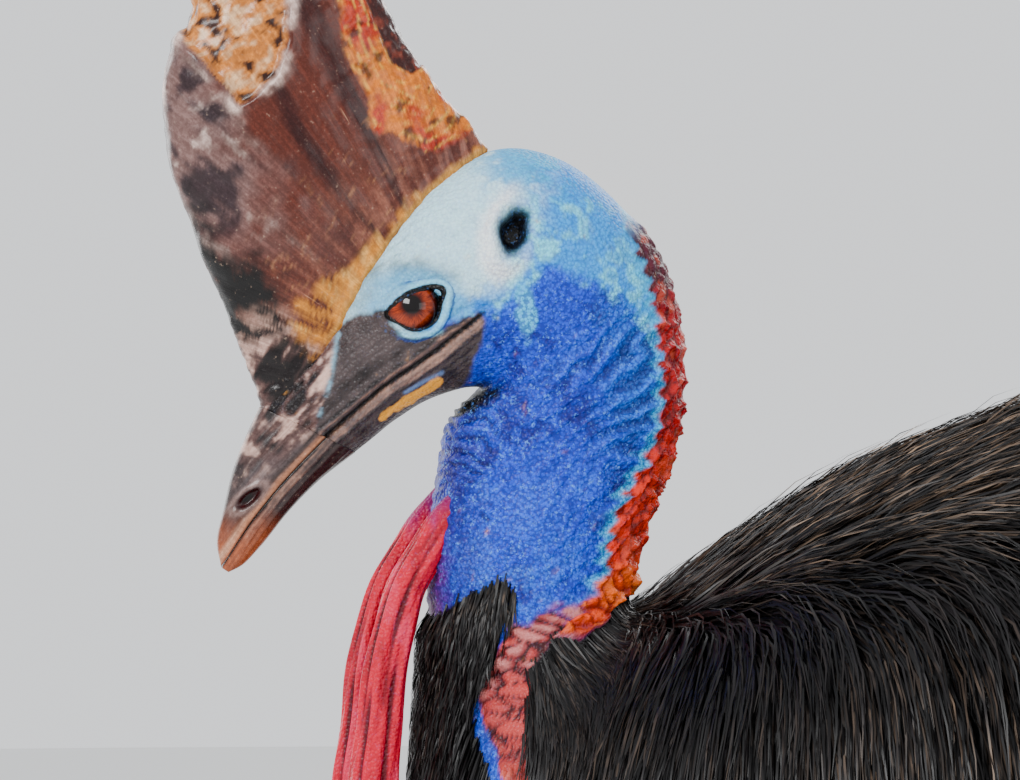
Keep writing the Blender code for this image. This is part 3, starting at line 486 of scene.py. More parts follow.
class Graph:
    """The nodes of one material, round a Principled shader."""

    def __init__(self, name: str, **constants: float | tuple) -> None:
        """Starts a material whose shader has these constant inputs, such as Roughness."""
        self.material = bpy.data.materials.new(name)
        self.material.use_nodes = True
        self.tree = self.material.node_tree
        self.shader = self.tree.nodes["Principled BSDF"]
        for key, value in constants.items():
            self.shader.inputs[key.replace("_", " ")].default_value = value
        coordinates = self.node("ShaderNodeTexCoord", {}, {})
        self.object = Value(self, coordinates.outputs["Object"])

    def node(self, kind: str, settings: dict, sockets: dict) -> bpy.types.Node:
        """Adds a node: its settings first, then the values or links of its sockets.

        Args:
            kind: The node's type.
            settings: Its own settings, by name.
            sockets: A value or a link for each input.
        Returns:
            The node.
        """
        made = self.tree.nodes.new(kind)
        for key, value in settings.items():
            setattr(made, key, value)
        for key, value in sockets.items():
            if isinstance(value, Value):
                self.tree.links.new(value.socket, made.inputs[key])
            else:
                made.inputs[key].default_value = value
        return made

    def noise(
        self, scale: float, detail: float = 3.0, roughness: float = 0.55, vector: Value | None = None
    ) -> Value:
        """Noise about 0.5, over Object coordinates unless another vector is given."""
        sockets = {"Vector": vector or self.object, "Scale": scale}
        sockets |= {"Detail": detail, "Roughness": roughness}
        return Value(self, self.node("ShaderNodeTexNoise", {}, sockets).outputs["Fac"])

    def pebbles(self, scale: float, feature: str = "F1") -> Value:
        """Distance inside rounded cells."""
        sockets = {"Vector": self.object, "Scale": scale}
        node = self.node("ShaderNodeTexVoronoi", {"feature": feature}, sockets)
        return Value(self, node.outputs["Distance"])

    def attribute(self, name: str, output: str = "Fac") -> Value:
        """A value that the mesh carries."""
        return Value(self, self.node("ShaderNodeAttribute", {"attribute_name": name}, {}).outputs[output])

    def mix(
        self, factor: Value | float, first: Value | tuple, second: Value | tuple, how: str = "MIX"
    ) -> Value:
        """One colour blended with another by a Mix node of this blend type."""
        first, second = ((*c, 1.0) if isinstance(c, tuple) else c for c in (first, second))
        settings = {"data_type": "RGBA", "blend_type": how}
        node = self.node("ShaderNodeMix", settings, {0: factor, 6: first, 7: second})
        return Value(self, node.outputs[2])

    def feed(self, **inputs: Value) -> "Graph":
        """Links values to the shader's inputs."""
        for key, value in inputs.items():
            self.tree.links.new(value.socket, self.shader.inputs[key.replace("_", " ")])
        return self

    def bump(self, *layers: tuple[Value, float, float]) -> None:
        """Raises the surface by layers of height, each with its strength and depth in metres.

        Args:
            layers: Height, strength and depth of each layer, the coarsest first.
        """
        normal = None
        for height, strength, depth in layers:
            sockets = {"Height": height, "Strength": strength, "Distance": depth}
            if normal is not None:
                sockets["Normal"] = normal
            normal = Value(self, self.node("ShaderNodeBump", {}, sockets).outputs["Normal"])
        self.feed(Normal=normal)


class Slot(Enum):
    """The record's finishes."""

    HEAD = "head_skin"
    WATTLE = "wattle_skin"
    CASQUE = "casque_horn"
    BILL = "bill_horn"
    EYE = "eye"
    CLAW = "claw_horn"
    QUILL = "quill_horn"
    LEG = "leg_scales"
    COAT = "black_plumage"


def dress(piece: bpy.types.Object, material: bpy.types.Material, slot: Slot, *nodes: str) -> None:
    """Gives a piece its finish and its place on the body, and hides the nodes that it stands for.

    Args:
        piece: The piece.
        material: Its finish.
        slot: The record's name for that finish. It is not used.
        nodes: The solids that the piece stands for.
    """
    piece.data.materials.clear()
    piece.data.materials.append(material)
    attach(piece, "root")
    if nodes:
        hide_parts(*nodes)
    LOG.info("%s: %d faces", piece.name, len(piece.data.polygons))


@dataclass(frozen=True)
class SkinFinish:
    """Bare pebbled skin whose colours are painted on the mesh. Where the mesh is marked as bare, painted
    shade in the seams between the pebbles and painted highlights, as paler lavender and cyan specks, break
    them up."""

    roughness: float = 0.42
    pebble_scale: float = 600.0
    wrinkle_scale: float = 150.0

    def material(self) -> bpy.types.Material:
        """Builds the material."""
        g = Graph("bare_skin", Subsurface_Weight=0.05, Subsurface_Scale=0.003, Specular_IOR_Level=0.22)
        paint, bare = g.attribute("paint", "Color"), g.attribute("bare")
        pebble = g.pebbles(self.pebble_scale)
        fine = g.noise(1000.0, 2.0)
        blotch = g.noise(420.0, 4.0, 0.7)
        dark = g.mix(1.0, paint, (0.34, 0.34, 0.52), "MULTIPLY")
        # Painted shade: the seams between the pebbles are darkened.
        seams = g.mix(pebble.between(0.38, 0.66) * bare * 0.95, paint, dark)
        deep = g.mix(blotch.between(0.48, 0.38) * bare * 0.85, seams, dark)
        # Painted highlights: paler lavender and cyan specks where the mesh is bare.
        pale = g.mix(fine, linear(140, 136, 240), linear(80, 190, 250))
        highlight_flecks = g.mix(blotch.between(0.54, 0.62) * fine.between(0.44, 0.56) * bare * 0.60, deep, pale)
        g.feed(Base_Color=highlight_flecks, Roughness=self.roughness + (blotch - 0.5) * 0.30)
        creases = g.noise(self.wrinkle_scale, 4.0, 0.65)
        g.bump((1.0 - pebble, 0.6, 0.0010), (creases, 0.5, 0.0016), (fine, 0.3, 0.0003))
        return g.material


@dataclass(frozen=True)
class HornFinish:
    """Horn whose colours are painted on the mesh, with fine growth lines along it."""

    name: str
    roughness: float = 0.34
    coat: float = 0.12
    across: float = 520.0
    lengthwise: float = 30.0
    depth: float = 0.0005
    contrast: float = 0.55

    def material(self) -> bpy.types.Material:
        """Builds the material."""
        g = Graph(self.name, Coat_Weight=self.coat, Coat_Roughness=0.20, Specular_IOR_Level=0.18)
        paint = g.attribute("paint", "Color")
        sockets = {"X": g.attribute("growth") * self.across, "Y": g.attribute("reach") * self.lengthwise}
        line = g.noise(1.0, 5.0, 0.65, Value(g, g.node("ShaderNodeCombineXYZ", {}, sockets).outputs[0]))
        speck = g.noise(480.0, 4.0, 0.65)
        dark = g.mix(1.0, paint, (0.42, 0.36, 0.34), "MULTIPLY")
        lined = g.mix(line.between(0.40, 0.56) * self.contrast, paint, dark)
        stained = g.mix(speck.between(0.56, 0.40) * 0.45, lined, dark)
        scraped = g.mix(line.between(0.34, 0.26) * self.contrast, stained, linear(228, 190, 160))
        colour = g.mix(speck.between(0.62, 0.72) * 0.25, scraped, linear(220, 196, 176))
        g.feed(Base_Color=colour, Roughness=self.roughness + (speck - 0.5) * 0.4)
        g.bump((line, 0.5, self.depth), (speck, 0.35, 0.0003))
        return g.material


@dataclass(frozen=True)
class EyeFinish:
    """A wet eye: a dark pupil in a fibrous red-brown iris."""

    pupil: float = 0.0040
    iris: float = 0.0118

    def material(self) -> bpy.types.Material:
        """Builds the material. Its rings are read from the mesh's distance to the gaze."""
        wet = {"Coat_Weight": 0.22, "Coat_Roughness": 0.02}
        g = Graph("wet_eye", Roughness=0.10, Specular_IOR_Level=0.15, **wet)
        radius, spoke = g.attribute("radius"), g.attribute("spoke")
        fibre = g.noise(1.0, 4.0, 0.7, self.polar(g, radius, spoke))
        iris = g.mix(fibre.between(0.30, 0.70), linear(112, 36, 14), linear(184, 84, 38))
        outer = g.mix(radius.between(self.iris * 0.70, self.iris * 1.0), iris, linear(58, 16, 10))
        inner = g.mix(radius.between(self.pupil * 1.9, self.pupil * 0.95), outer, linear(60, 16, 12))
        pupil = g.mix(radius.between(self.pupil * 1.12, self.pupil * 0.90), inner, (0.003, 0.002, 0.002))
        white = g.mix(radius.between(self.iris * 0.98, self.iris * 1.06), pupil, linear(16, 9, 9))
        g.feed(Base_Color=white)
        return g.material

    @staticmethod
    def polar(g: Graph, radius: Value, spoke: Value) -> Value:
        """Coordinates that run along the fibres of the iris."""
        node = g.node("ShaderNodeCombineXYZ", {}, {"X": radius * 260.0, "Y": spoke * 9.0})
        return Value(g, node.outputs[0])


@dataclass(frozen=True)
class CoatFinish:
    """Black hair-like feathers, with pale brown painted highlights in stretches where the mesh marks them.
    """

    name: str
    root: tuple = linear(16, 14, 16)
    middle: tuple = linear(44, 40, 42)
    # The colour of the painted highlights.
    painted_highlight: tuple = linear(192, 166, 142)
    roughness: float = 0.40

    def material(self) -> bpy.types.Material:
        """Builds the material."""
        g = Graph(self.name, Specular_IOR_Level=0.20)
        along, tone, highlight_share = g.attribute("along"), g.attribute("tone"), g.attribute("highlight_share")
        node = g.node("ShaderNodeCombineXYZ", {}, {"X": along * 2.6, "Y": tone * 190.0})
        patch = g.noise(1.0, 2.0, 0.5, Value(g, node.outputs[0]))
        black = g.mix(tone.between(0.2, 1.0) * along.between(0.0, 0.6), self.root, self.middle)
        # Painted highlights: pale brown stretches on the blades that the mesh marks.
        painted_highlight = highlight_share * patch.between(0.44, 0.60) * tone.between(0.30, 0.95) * along.between(0.12, 0.45)
        g.feed(Base_Color=g.mix(painted_highlight, black, self.painted_highlight), Roughness=self.roughness + (patch - 0.5) * 0.3)
        return g.material


@dataclass(frozen=True)
class ScaleFinish:
    """Scaled legs: dark seams between dry grey-brown scales, and black skin under the coat."""

    feathered_above: float = 0.45

    def material(self) -> bpy.types.Material:
        """Builds the material."""
        g = Graph("leg_scales", Specular_IOR_Level=0.25)
        seam = g.pebbles(170.0, "DISTANCE_TO_EDGE")
        patch = g.noise(22.0, 4.0, 0.6)
        speck = g.noise(500.0, 3.0, 0.6)
        dry = g.mix(patch.between(0.35, 0.65), linear(112, 104, 92), linear(150, 138, 116))
        dirty = g.mix(speck.between(0.5, 0.7) * 0.35, dry, linear(70, 64, 56))
        scaled = g.mix(seam.between(0.16, 0.03) * 0.9, dirty, linear(44, 38, 34))
        parts = g.node("ShaderNodeSeparateXYZ", {}, {"Vector": g.object})
        above = Value(g, parts.outputs["Z"]).between(self.feathered_above - 0.03, self.feathered_above)
        g.feed(Base_Color=g.mix(above, scaled, linear(16, 14, 15)), Roughness=0.55 + (speck - 0.5) * 0.3)
        g.bump((seam.between(0.0, 0.24), 0.9, 0.0018), (speck, 0.3, 0.0003))
        return g.material


@dataclass
class Body:
    """The bird's flesh as one surface from the bill's root over the skull and down the neck, the
    trunk and the tail. A place runs from 0 at the bill to 30 at the tail, and height from the
    skin (0) to the tips of the coat (1)."""

    # Upper y and z, lower y and z, half width, coat and fullness.
    stations: tuple = (
        (-0.492, 1.033, -0.448, 1.012, 0.0135, 0, 2.15),
        (-0.479, 1.050, -0.439, 1.019, 0.0170, 0, 2.15),
        (-0.460, 1.075, -0.432, 1.025, 0.0220, 0, 2.15),
        (-0.444, 1.101, -0.426, 1.029, 0.0275, 0, 2.15),
        (-0.425, 1.127, -0.420, 1.033, 0.0320, 0, 2.15),
        (-0.401, 1.145, -0.412, 1.037, 0.0355, 0, 2.15),
        (-0.375, 1.154, -0.403, 1.040, 0.0380, 0, 2.15),
        (-0.349, 1.147, -0.395, 1.042, 0.0390, 0, 2.15),
        (-0.327, 1.130, -0.389, 1.042, 0.0385, 0, 2.15),
        (-0.309, 1.109, -0.388, 1.040, 0.0375, 0, 2.12),
        (-0.299, 1.087, -0.396, 1.035, 0.0360, 0, 2.08),
        (-0.294, 1.061, -0.405, 1.024, 0.0350, 0, 2.03),
        (-0.293, 1.040, -0.408, 1.010, 0.0350, 0, 2.0),
        (-0.297, 1.015, -0.410, 0.996, 0.0360, 0, 2.0),
        (-0.307, 0.987, -0.413, 0.980, 0.0380, 0, 2.0),
        (-0.315, 0.964, -0.415, 0.961, 0.0410, 0, 2.0),
        (-0.321, 0.943, -0.417, 0.938, 0.0460, 0.004, 2.0),
        (-0.321, 0.941, -0.419, 0.900, 0.0520, 0.007, 2.0),
        (-0.320, 0.939, -0.421, 0.860, 0.0620, 0.008, 2.0),
        (-0.3175, 0.9375, -0.4255, 0.798, 0.0830, 0.0095, 2.1),
        (-0.290, 0.955, -0.405, 0.710, 0.130, 0.020, 2.25),
        (-0.235, 0.990, -0.330, 0.625, 0.172, 0.028, 2.25),
        (-0.160, 1.024, -0.220, 0.575, 0.200, 0.032, 2.25),
        (-0.060, 1.055, -0.080, 0.555, 0.218, 0.034, 2.25),
        (0.050, 1.068, 0.050, 0.550, 0.222, 0.034, 2.25),
        (0.160, 1.055, 0.170, 0.555, 0.215, 0.034, 2.25),
        (0.270, 1.012, 0.280, 0.570, 0.195, 0.033, 2.25),
        (0.370, 0.935, 0.370, 0.585, 0.165, 0.031, 2.25),
        (0.455, 0.830, 0.440, 0.590, 0.125, 0.027, 2.25),
        (0.510, 0.720, 0.485, 0.590, 0.080, 0.020, 2.25),
        (0.537, 0.620, 0.520, 0.585, 0.030, 0.010, 2.25),
    )
    neck_end: float = 19.0
    tail_end: float = 29.6
    softening: float = 0.35
    table: Array = field(init=False)

    def __post_init__(self) -> None:
        """Reads the stations finely and rounds off the corners between them."""
        fine = monotone(np.array(self.stations), np.linspace(0, 30, 1201))
        reach = int(self.softening * 40 * 3)
        weight = np.exp(-0.5 * (np.arange(-reach, reach + 1) / (self.softening * 40)) ** 2)
        before, after = 2 * fine[0] - fine[reach:0:-1], 2 * fine[-1] - fine[-2 : -reach - 2 : -1]
        padded = np.concatenate((before, fine, after))
        self.table = np.column_stack([np.convolve(c, weight / weight.sum(), "valid") for c in padded.T])

    def surface(self, place: Array, angle: Array, height: Array | float = 0.0) -> Array:
        """Points on the body.

        Args:
            place: Along the stations.
            angle: From the upper point round the left side.
            height: From the skin (0) to the tips of the coat (1).
        Returns:
            Points: an oval with cos and sin raised to 2 / fullness, drawn in by the coat's depth.
        """
        place, angle, height = (np.ravel(v) for v in np.broadcast_arrays(place, angle, height))
        at = np.clip(place, 0, 30) * 40
        i = np.minimum(at.astype(int), len(self.table) - 2)
        t = (at - i)[:, None]
        found = self.table[i] * (1 - t) + self.table[i + 1] * t
        top, low, width, coat, full = found[:, 0:2], found[:, 2:4], found[:, 4], found[:, 5], found[:, 6]
        on_neck = np.clip(0.15 - np.cos(angle), 0, 1)
        on_trunk = 0.78 + 0.16 * (1 - np.cos(angle))
        share = on_neck + (on_trunk - on_neck) * smooth(18.6, 19.8, place)
        inset = coat * share * (1 - height)
        middle, half = (top + low) / 2, (top - low) / 2
        length = np.linalg.norm(half, axis=1)
        along, across = signed_power(np.cos(angle), 2 / full), signed_power(np.sin(angle), 2 / full)
        yz = middle + half * (along * (1 - inset / length))[:, None]
        return np.column_stack((across * (width - inset), yz))

    def outward(self, place: Array, angle: Array) -> Array:
        """Unit normals of the skin, from its slopes along and round."""
        step = 1e-3
        along = self.surface(place + step, angle) - self.surface(place - step, angle)
        round_it = self.surface(place, angle + step) - self.surface(place, angle - step)
        return unit(np.cross(round_it, along))

    def side_at(self, yz: Array) -> Array:
        """How far out the skin of the head stands at (y, z) points: the mean of the nearest
        samples, weighted by the inverse square of their distance.

        Args:
            yz: Places as (y, z).
        Returns:
            Their distances from the median plane.
        """
        place, angle = np.meshgrid(np.linspace(1.0, 8.0, 120), np.linspace(0.1, 3.0, 90), indexing="ij")
        samples = self.surface(place, angle)
        gap = ((yz[:, None] - samples[None, :, 1:]) ** 2).sum(axis=2)
        near = np.argpartition(gap, 4, axis=1)[:, :4]
        weight = 1 / (np.take_along_axis(gap, near, axis=1) + 1e-9)
        return (samples[near, 0] * weight).sum(axis=1) / weight.sum(axis=1)


@dataclass
class Face:
    """Places on the head and neck, as (y, z), shared by relief, paint and coat."""

    eye: tuple = (-0.4245, 1.0785)
    eye_x: float = 0.0232
    eye_radius: float = 0.0142
    gaze: tuple = (-0.0026, 0.0020)
    # The opening between the lids, from its rear corner upwards and round.
    opening: tuple = (
        (0.0105, 0.0000), (0.0111, 0.0084), (0.0010, 0.0078), (-0.0075, 0.0034), (-0.0128, -0.0018),
        (-0.0098, -0.0055), (-0.0012, -0.0094), (0.0074, -0.0067),
    )
    socket: tuple = (0.0122, 0.0094)
    # The bulge of the brow, and the crease that runs back from the eye.
    brow: tuple = ((-0.446, 1.0905), (-0.428, 1.0965), (-0.408, 1.0950), (-0.400, 1.0880))
    crease: tuple = ((-0.408, 1.0760), (-0.396, 1.0790), (-0.384, 1.0810))
    ear: tuple = (-0.3795, 1.1140)
    ear_hole: tuple = (0.0074, 0.0116)
    ear_tilt: float = -0.42
    ear_fray: float = 0.16
    mouth: tuple = (
        (-0.492, 0.988), (-0.483, 0.998), (-0.462, 1.020), (-0.438, 1.042), (-0.413, 1.060),
        (-0.3935, 1.0763),
    )
    # The edge of the casque's golden foot, from the crown to the root of the bill.
    casque_foot: tuple = (
        (-0.3890, 1.1500), (-0.3982, 1.1442), (-0.4052, 1.1400), (-0.4175, 1.1288), (-0.4310, 1.1130),
        (-0.4423, 1.0953), (-0.4511, 1.0805), (-0.4584, 1.0670), (-0.4690, 1.0540), (-0.4798, 1.0409),
        (-0.4893, 1.0349),
    )
    # The pale line between the foot of the casque and the dark skin.
    brow_line: tuple = (
        (-0.4560, 1.0740), (-0.4585, 1.0640), (-0.4606, 1.0540), (-0.4622, 1.0440), (-0.4650, 1.0340),
        (-0.4665, 1.0290),
    )
    # The edge of the dark skin in front of the eye and over the gape.
    lore: tuple = (
        (-0.500, 1.062), (-0.4621, 1.0647), (-0.4583, 1.0698), (-0.4489, 1.0763), (-0.4394, 1.0772),
        (-0.4370, 1.0772), (-0.4346, 1.0707), (-0.4299, 1.0660), (-0.4214, 1.0651), (-0.4134, 1.0688),
        (-0.4020, 1.0753), (-0.3950, 1.0767), (-0.3931, 1.0726), (-0.3940, 1.0609), (-0.3973, 1.0516),
        (-0.3950, 1.0442), (-0.3997, 1.0414), (-0.4040, 1.0360),
    )
    # The yellow fold at the gape and the pale one over it.
    yellow: tuple = ((-0.4375, 1.0285), (-0.4265, 1.0360), (-0.4110, 1.0445))
    gape_fold: tuple = ((-0.4276, 1.0400), (-0.4190, 1.0450), (-0.4110, 1.0490))
    # The lower edge of the pale skin of the cheek.
    cheek: tuple = (
        (-0.4191, 1.0660), (-0.4096, 1.0753), (-0.3985, 1.0781), (-0.3839, 1.0800), (-0.3725, 1.0893),
        (-0.3654, 1.0986), (-0.3489, 1.0916), (-0.3300, 1.0860), (-0.3135, 1.0684),
    )
    # The front edge of the red stripe down the hind neck.
    stripe: tuple = (
        (-0.3300, 1.1280), (-0.3251, 1.1172), (-0.3180, 1.1000), (-0.3132, 1.0823), (-0.3099, 1.0637),
        (-0.3075, 1.0451), (-0.3085, 1.0290), (-0.3125, 1.0150), (-0.3180, 1.0050), (-0.3245, 0.9950),
        (-0.3305, 0.9840), (-0.3360, 0.9690), (-0.3355, 0.9586), (-0.3430, 0.9500), (-0.3460, 0.9430),
        (-0.3575, 0.9330),
    )
    # The edge of the black feathers in front, over the top and down their rear.
    bib: tuple = (
        (-0.4290, 0.9150), (-0.4238, 0.9205), (-0.4181, 0.9302), (-0.4072, 0.9419), (-0.3930, 0.9507),
        (-0.3850, 0.9544), (-0.3794, 0.9479), (-0.3860, 0.9381), (-0.3902, 0.9260), (-0.3968, 0.9126),
        (-0.4001, 0.9047), (-0.4001, 0.8907), (-0.3959, 0.8763), (-0.3931, 0.8614), (-0.3880, 0.8400),
        (-0.3820, 0.8000),
    )
    # The front edge of the coat, from behind the neck down to the breast.
    coat_edge: tuple = (
        (-0.2500, 1.1000), (-0.2830, 1.0000), (-0.3165, 0.9465), (-0.3293, 0.9437), (-0.3364, 0.9349),
        (-0.3515, 0.9270), (-0.3633, 0.9290), (-0.3680, 0.9223), (-0.3742, 0.9153), (-0.3761, 0.9009),
        (-0.3761, 0.8907), (-0.3732, 0.8809), (-0.3695, 0.8721), (-0.3643, 0.8595), (-0.3580, 0.8400),
        (-0.3520, 0.8000),
    )

    # Below this height the feathers close over the breast.
    breast_top: float = 0.846

    def ear_rings(self, points: Array) -> Array:
        """How far points lie from the ear, counted in its half sizes and frayed by noise."""
        plain = oval_distance(points, self.ear, self.ear_hole, self.ear_tilt)
        return plain + self.ear_fray * layered(points, 0.009, 15)

    def feathered(self, points: Array, wobble: float = 0.0016) -> Array:
        """Where feathers grow.

        Args:
            points: Places on the body.
            wobble: How far noise shifts the edges.
        Returns:
            Metres from the nearest edge, above 0 in front of the bib's edge, behind the coat's
            edge and below the top of the breast.
        """
        y, z = points[:, 1], points[:, 2]
        rough = layered(points, 0.008, 3) * wobble
        bib = -line_distance(points, self.bib) + rough
        bib = np.where((z > 0.957) | (y > -0.370), -0.01, bib)
        coat = line_distance(points, self.coat_edge) + rough
        closed = self.breast_top - z + rough * 2
        return np.maximum(np.maximum(bib, np.where(y < -0.395, -0.01, coat)), closed)


@dataclass
class Skin:
    """The bare and the covered skin in one piece."""

    body: Body
    face: Face
    head_rows: int = 334
    trunk_rows: int = 36
    columns: int = 264
    # Heights and depths of the relief, in metres.
    throat_fold: float = 0.0009
    neck_fold: float = 0.0013
    pebble: float = 0.00048
    socket_depth: float = 0.0085
    brow: float = 0.0018
    ear_depth: float = 0.0110
    mouth_groove: float = 0.0024
    lip: float = 0.0011
    # The saw-teeth of the red stripe's border: pitch, depth and how far they reach back.
    tooth: float = 0.0085
    tooth_depth: float = 0.0042
    tooth_shift: float = 0.0022
    # Pitch and salt of the cells of the stripe, the orange bulbs and the salmon plates.
    lumps: tuple = (0.0060, 21)
    bulbs: tuple = (0.0095, 31)
    plates: tuple = (0.0080, 41)
    plate_shape: tuple = (0.6, 0.55, 1.4)
    # The painted shade at the bottom of the ear hole.
    ear_shade_colour: Array = field(default_factory=lambda: np.array((0.003, 0.003, 0.004)))

    def build(self) -> None:
        """Makes the skin: the body's surface raised by relief and painted by place."""
        head = np.linspace(0, self.body.neck_end, self.head_rows)
        trunk = np.linspace(self.body.neck_end, self.body.tail_end, self.trunk_rows)[1:]
        rows, turns = np.concatenate((head, trunk)), full_turn(self.columns)
        place, angle = np.meshgrid(rows, turns, indexing="ij")
        flat, turn = place.ravel(), angle.ravel()
        points = self.body.surface(flat, turn)
        rise = self.relief(points, flat, turn)
        paint = self.paint(points, flat)
        moved = points + self.body.outward(flat, turn) * rise[:, None]
        shape = Shape("skin")
        size = place.shape
        bare = self.pebbled(points, flat).reshape(size)
        shape.grid(moved.reshape(*size, 3), paint=paint.reshape(*size, 3), bare=bare)
        nodes = ("head", "neck_upper", "neck_lower", "torso", "tail")
        dress(shape.build(), SkinFinish().material(), Slot.HEAD, *nodes)

    def pebbled(self, points: Array, place: Array) -> Array:
        """How pebbled the skin is: fully on the blue neck, less on the pale cheek and the jaw.

        Args:
            points: Places on the surface.
            place: Where they lie along the stations.
        Returns:
            Shares from 0 to 1.
        """
        cheek = line_distance(points, self.face.cheek)
        lore = line_distance(points, self.face.lore)
        jaw = smooth(0.0015, -0.0015, lore) * (1 - smooth(6.2, 7.0, place))
        below = 1 - 0.50 * smooth(-0.004, 0.004, cheek) * (1 - smooth(10.0, 11.0, place))
        stripe, _, salmon = self.hind_neck(points, place)
        clear = 1 - 0.92 * np.clip(stripe + salmon, 0, 1)
        feathered = smooth(-0.001, 0.001, self.face.feathered(points))
        clear = clear * (1 - feathered * smooth(14.0, 15.0, place))
        ends = (0.4 + 0.6 * smooth(5.0, 7.0, place)) * (1 - smooth(19.2, 20.2, place))
        return clear * below * (1 - 0.9 * jaw) * ends

    def folds(self, points: Array, place: Array) -> tuple[Array, Array]:
        """The wrinkles of the throat and the slanting creases of the neck.

        Args:
            points: Places on the body.
            place: Along the stations.
        Returns:
            Two heights from -1 in a crease to 1 on a fold, faded out where there are none. The
            first is a sine of the height, bent by noise, and the second a sharpened one.
        """
        y, z = points[:, 1], points[:, 2]
        warp = layered(points, 0.028, 11) * 0.008
        wave = z + 0.35 * (y + 0.36) + warp
        throat = smooth(-0.366, -0.400, y) * smooth(1.050, 1.030, z) * smooth(0.950, 0.975, z)
        broken = 0.3 + 0.7 * smooth(-0.4, 0.4, layered(points, 0.018, 16))
        throat = throat * smooth(8.6, 10.4, place) * broken
        first = throat * np.sin(wave * 2 * math.pi / 0.0062)
        slant = z - 0.80 * (y + 0.36) + warp * 1.6
        there = smooth(9.0, 11.0, place) * (1 - smooth(18.5, 20.0, place)) * (1 - throat)
        near = 0.35 + 0.65 * np.maximum(smooth(-0.345, -0.320, y), smooth(1.035, 1.055, z))
        ridge = 1 - np.abs(np.sin(slant * math.pi / 0.0115))
        return first, there * near * (ridge**1.5 * 2 - 1)

    def relief(self, points: Array, place: Array, angle: Array) -> Array:
        """Heights in metres of the folds, lids, ear and bulbs over the plain body.

        Args:
            points: Places on the surface.
            place: Where they lie along the stations.
            angle: Their angles from the upper point round the left side.
        Returns:
            Metres out of the plain body.
        """
        y = points[:, 1]
        lateral = smooth(0.35, 0.7, np.abs(np.sin(angle)))
        rise = np.zeros(len(points))
        eye = oval_distance(points, self.face.eye, self.face.socket)
        rise -= self.socket_depth * (1 - smooth(0.85, 1.15, eye)) * lateral
        brow = line_distance(points, self.face.brow)
        rise += self.brow * bell(brow, 0.0042) * lateral
        crease = line_distance(points, self.face.crease)
        rise -= 0.0016 * bell(crease, 0.0016) * lateral
        ear = self.face.ear_rings(points)
        rise -= self.ear_depth * (1 - smooth(0.45, 1.06, ear)) * lateral
        front = smooth(0.004, -0.010, y - self.face.ear[0])
        rise += (0.0006 + 0.0026 * front) * bell(ear - 1.40, 0.30) * lateral
        mouth = line_distance(points, self.face.mouth)
        on_face = (1 - smooth(5.6, 6.6, place)) * lateral
        rise -= self.mouth_groove * bell(mouth, 0.0010) * on_face
        rise += self.lip * bell(mouth - 0.0040, 0.0020) * on_face
        rise += self.lip * bell(mouth + 0.0042, 0.0022) * on_face
        rise += 0.00022 * np.sin(mouth * 2 * math.pi / 0.0031 + layered(points, 0.02, 13)) * on_face
        throat, slanting = self.folds(points, place)
        rise += self.throat_fold * throat + self.neck_fold * slanting
        inside, _ = cells(points * np.array((1.0, 1.0, 1.25)), 0.0028, 5)
        rise += self.pebble * self.pebbled(points, place) * np.minimum(inside * 2.2, 1.0) * lateral**0.5
        stripe, patch, salmon = self.hind_neck(points, place)
        lumps, _ = cells(points, *self.lumps)
        rise += stripe * (0.0008 + 0.0014 * np.minimum(lumps * 2.0, 1.0))
        bulbs, _ = cells(points, *self.bulbs)
        rounded = 0.0034 * np.minimum(bulbs * 1.8, 1.0) ** 0.7
        rise += patch * (rounded + 0.0006 * layered(points, 0.003, 33))
        plates, _ = cells(points * np.array(self.plate_shape), *self.plates)
        rise += salmon * (0.0020 * np.minimum(plates * 2.6, 1.0) - 0.0006)
        return rise * (1 - smooth(20.0, 21.0, place))

    def hind_neck(self, points: Array, place: Array) -> tuple[Array, Array, Array]:
        """Masks of the red stripe, the orange bulbs at its foot and the scaled salmon patch.

        Args:
            points: Places on the surface.
            place: Where they lie along the stations.
        Returns:
            Three masks from 0 to 1.
        """
        y, z = points[:, 1], points[:, 2]
        edge = self.stripe_edge(points)
        on_neck = smooth(8.0, 8.8, place) * (1 - smooth(19.2, 20.0, place))
        stripe = smooth(-0.0006, 0.0006, edge) * on_neck * (1 - smooth(1.116, 1.124, z))
        stripe *= smooth(0.924, 0.930, z + layered(points, 0.006, 4) * 0.002)
        stripe *= 1 - smooth(-0.0010, 0.0010, self.face.feathered(points)) * smooth(14.0, 15.0, place)
        patch = stripe * (1 - smooth(0.957, 0.963, z + layered(points, 0.006, 7) * 0.002))
        bib = line_distance(points, self.face.bib)
        inner = smooth(0.0036, 0.0046, bib + layered(points, 0.006, 6) * 0.0008)
        top = z - 0.30 * (y + 0.36) + layered(points, 0.008, 9) * 0.004
        below = 1 - smooth(0.938, 0.944, top)
        salmon = inner * below * (1 - stripe) * (1 - smooth(19.4, 20.2, place))
        salmon = salmon * smooth(14.0, 15.5, place)
        salmon *= 1 - smooth(0.0005, 0.0020, self.face.feathered(points, 0.0))
        return stripe, patch, salmon

    def stripe_edge(self, points: Array) -> Array:
        """Signed distance from the red stripe's border, which is cut into uneven saw-teeth."""
        tooth = np.abs(np.mod(points[:, 2] / self.tooth + layered(points, 0.02, 8) * 0.4, 1.0) - 0.5) * 2
        jag = tooth + layered(points, 0.006, 2) * 0.25
        return line_distance(points, self.face.stripe) + jag * self.tooth_depth - self.tooth_shift

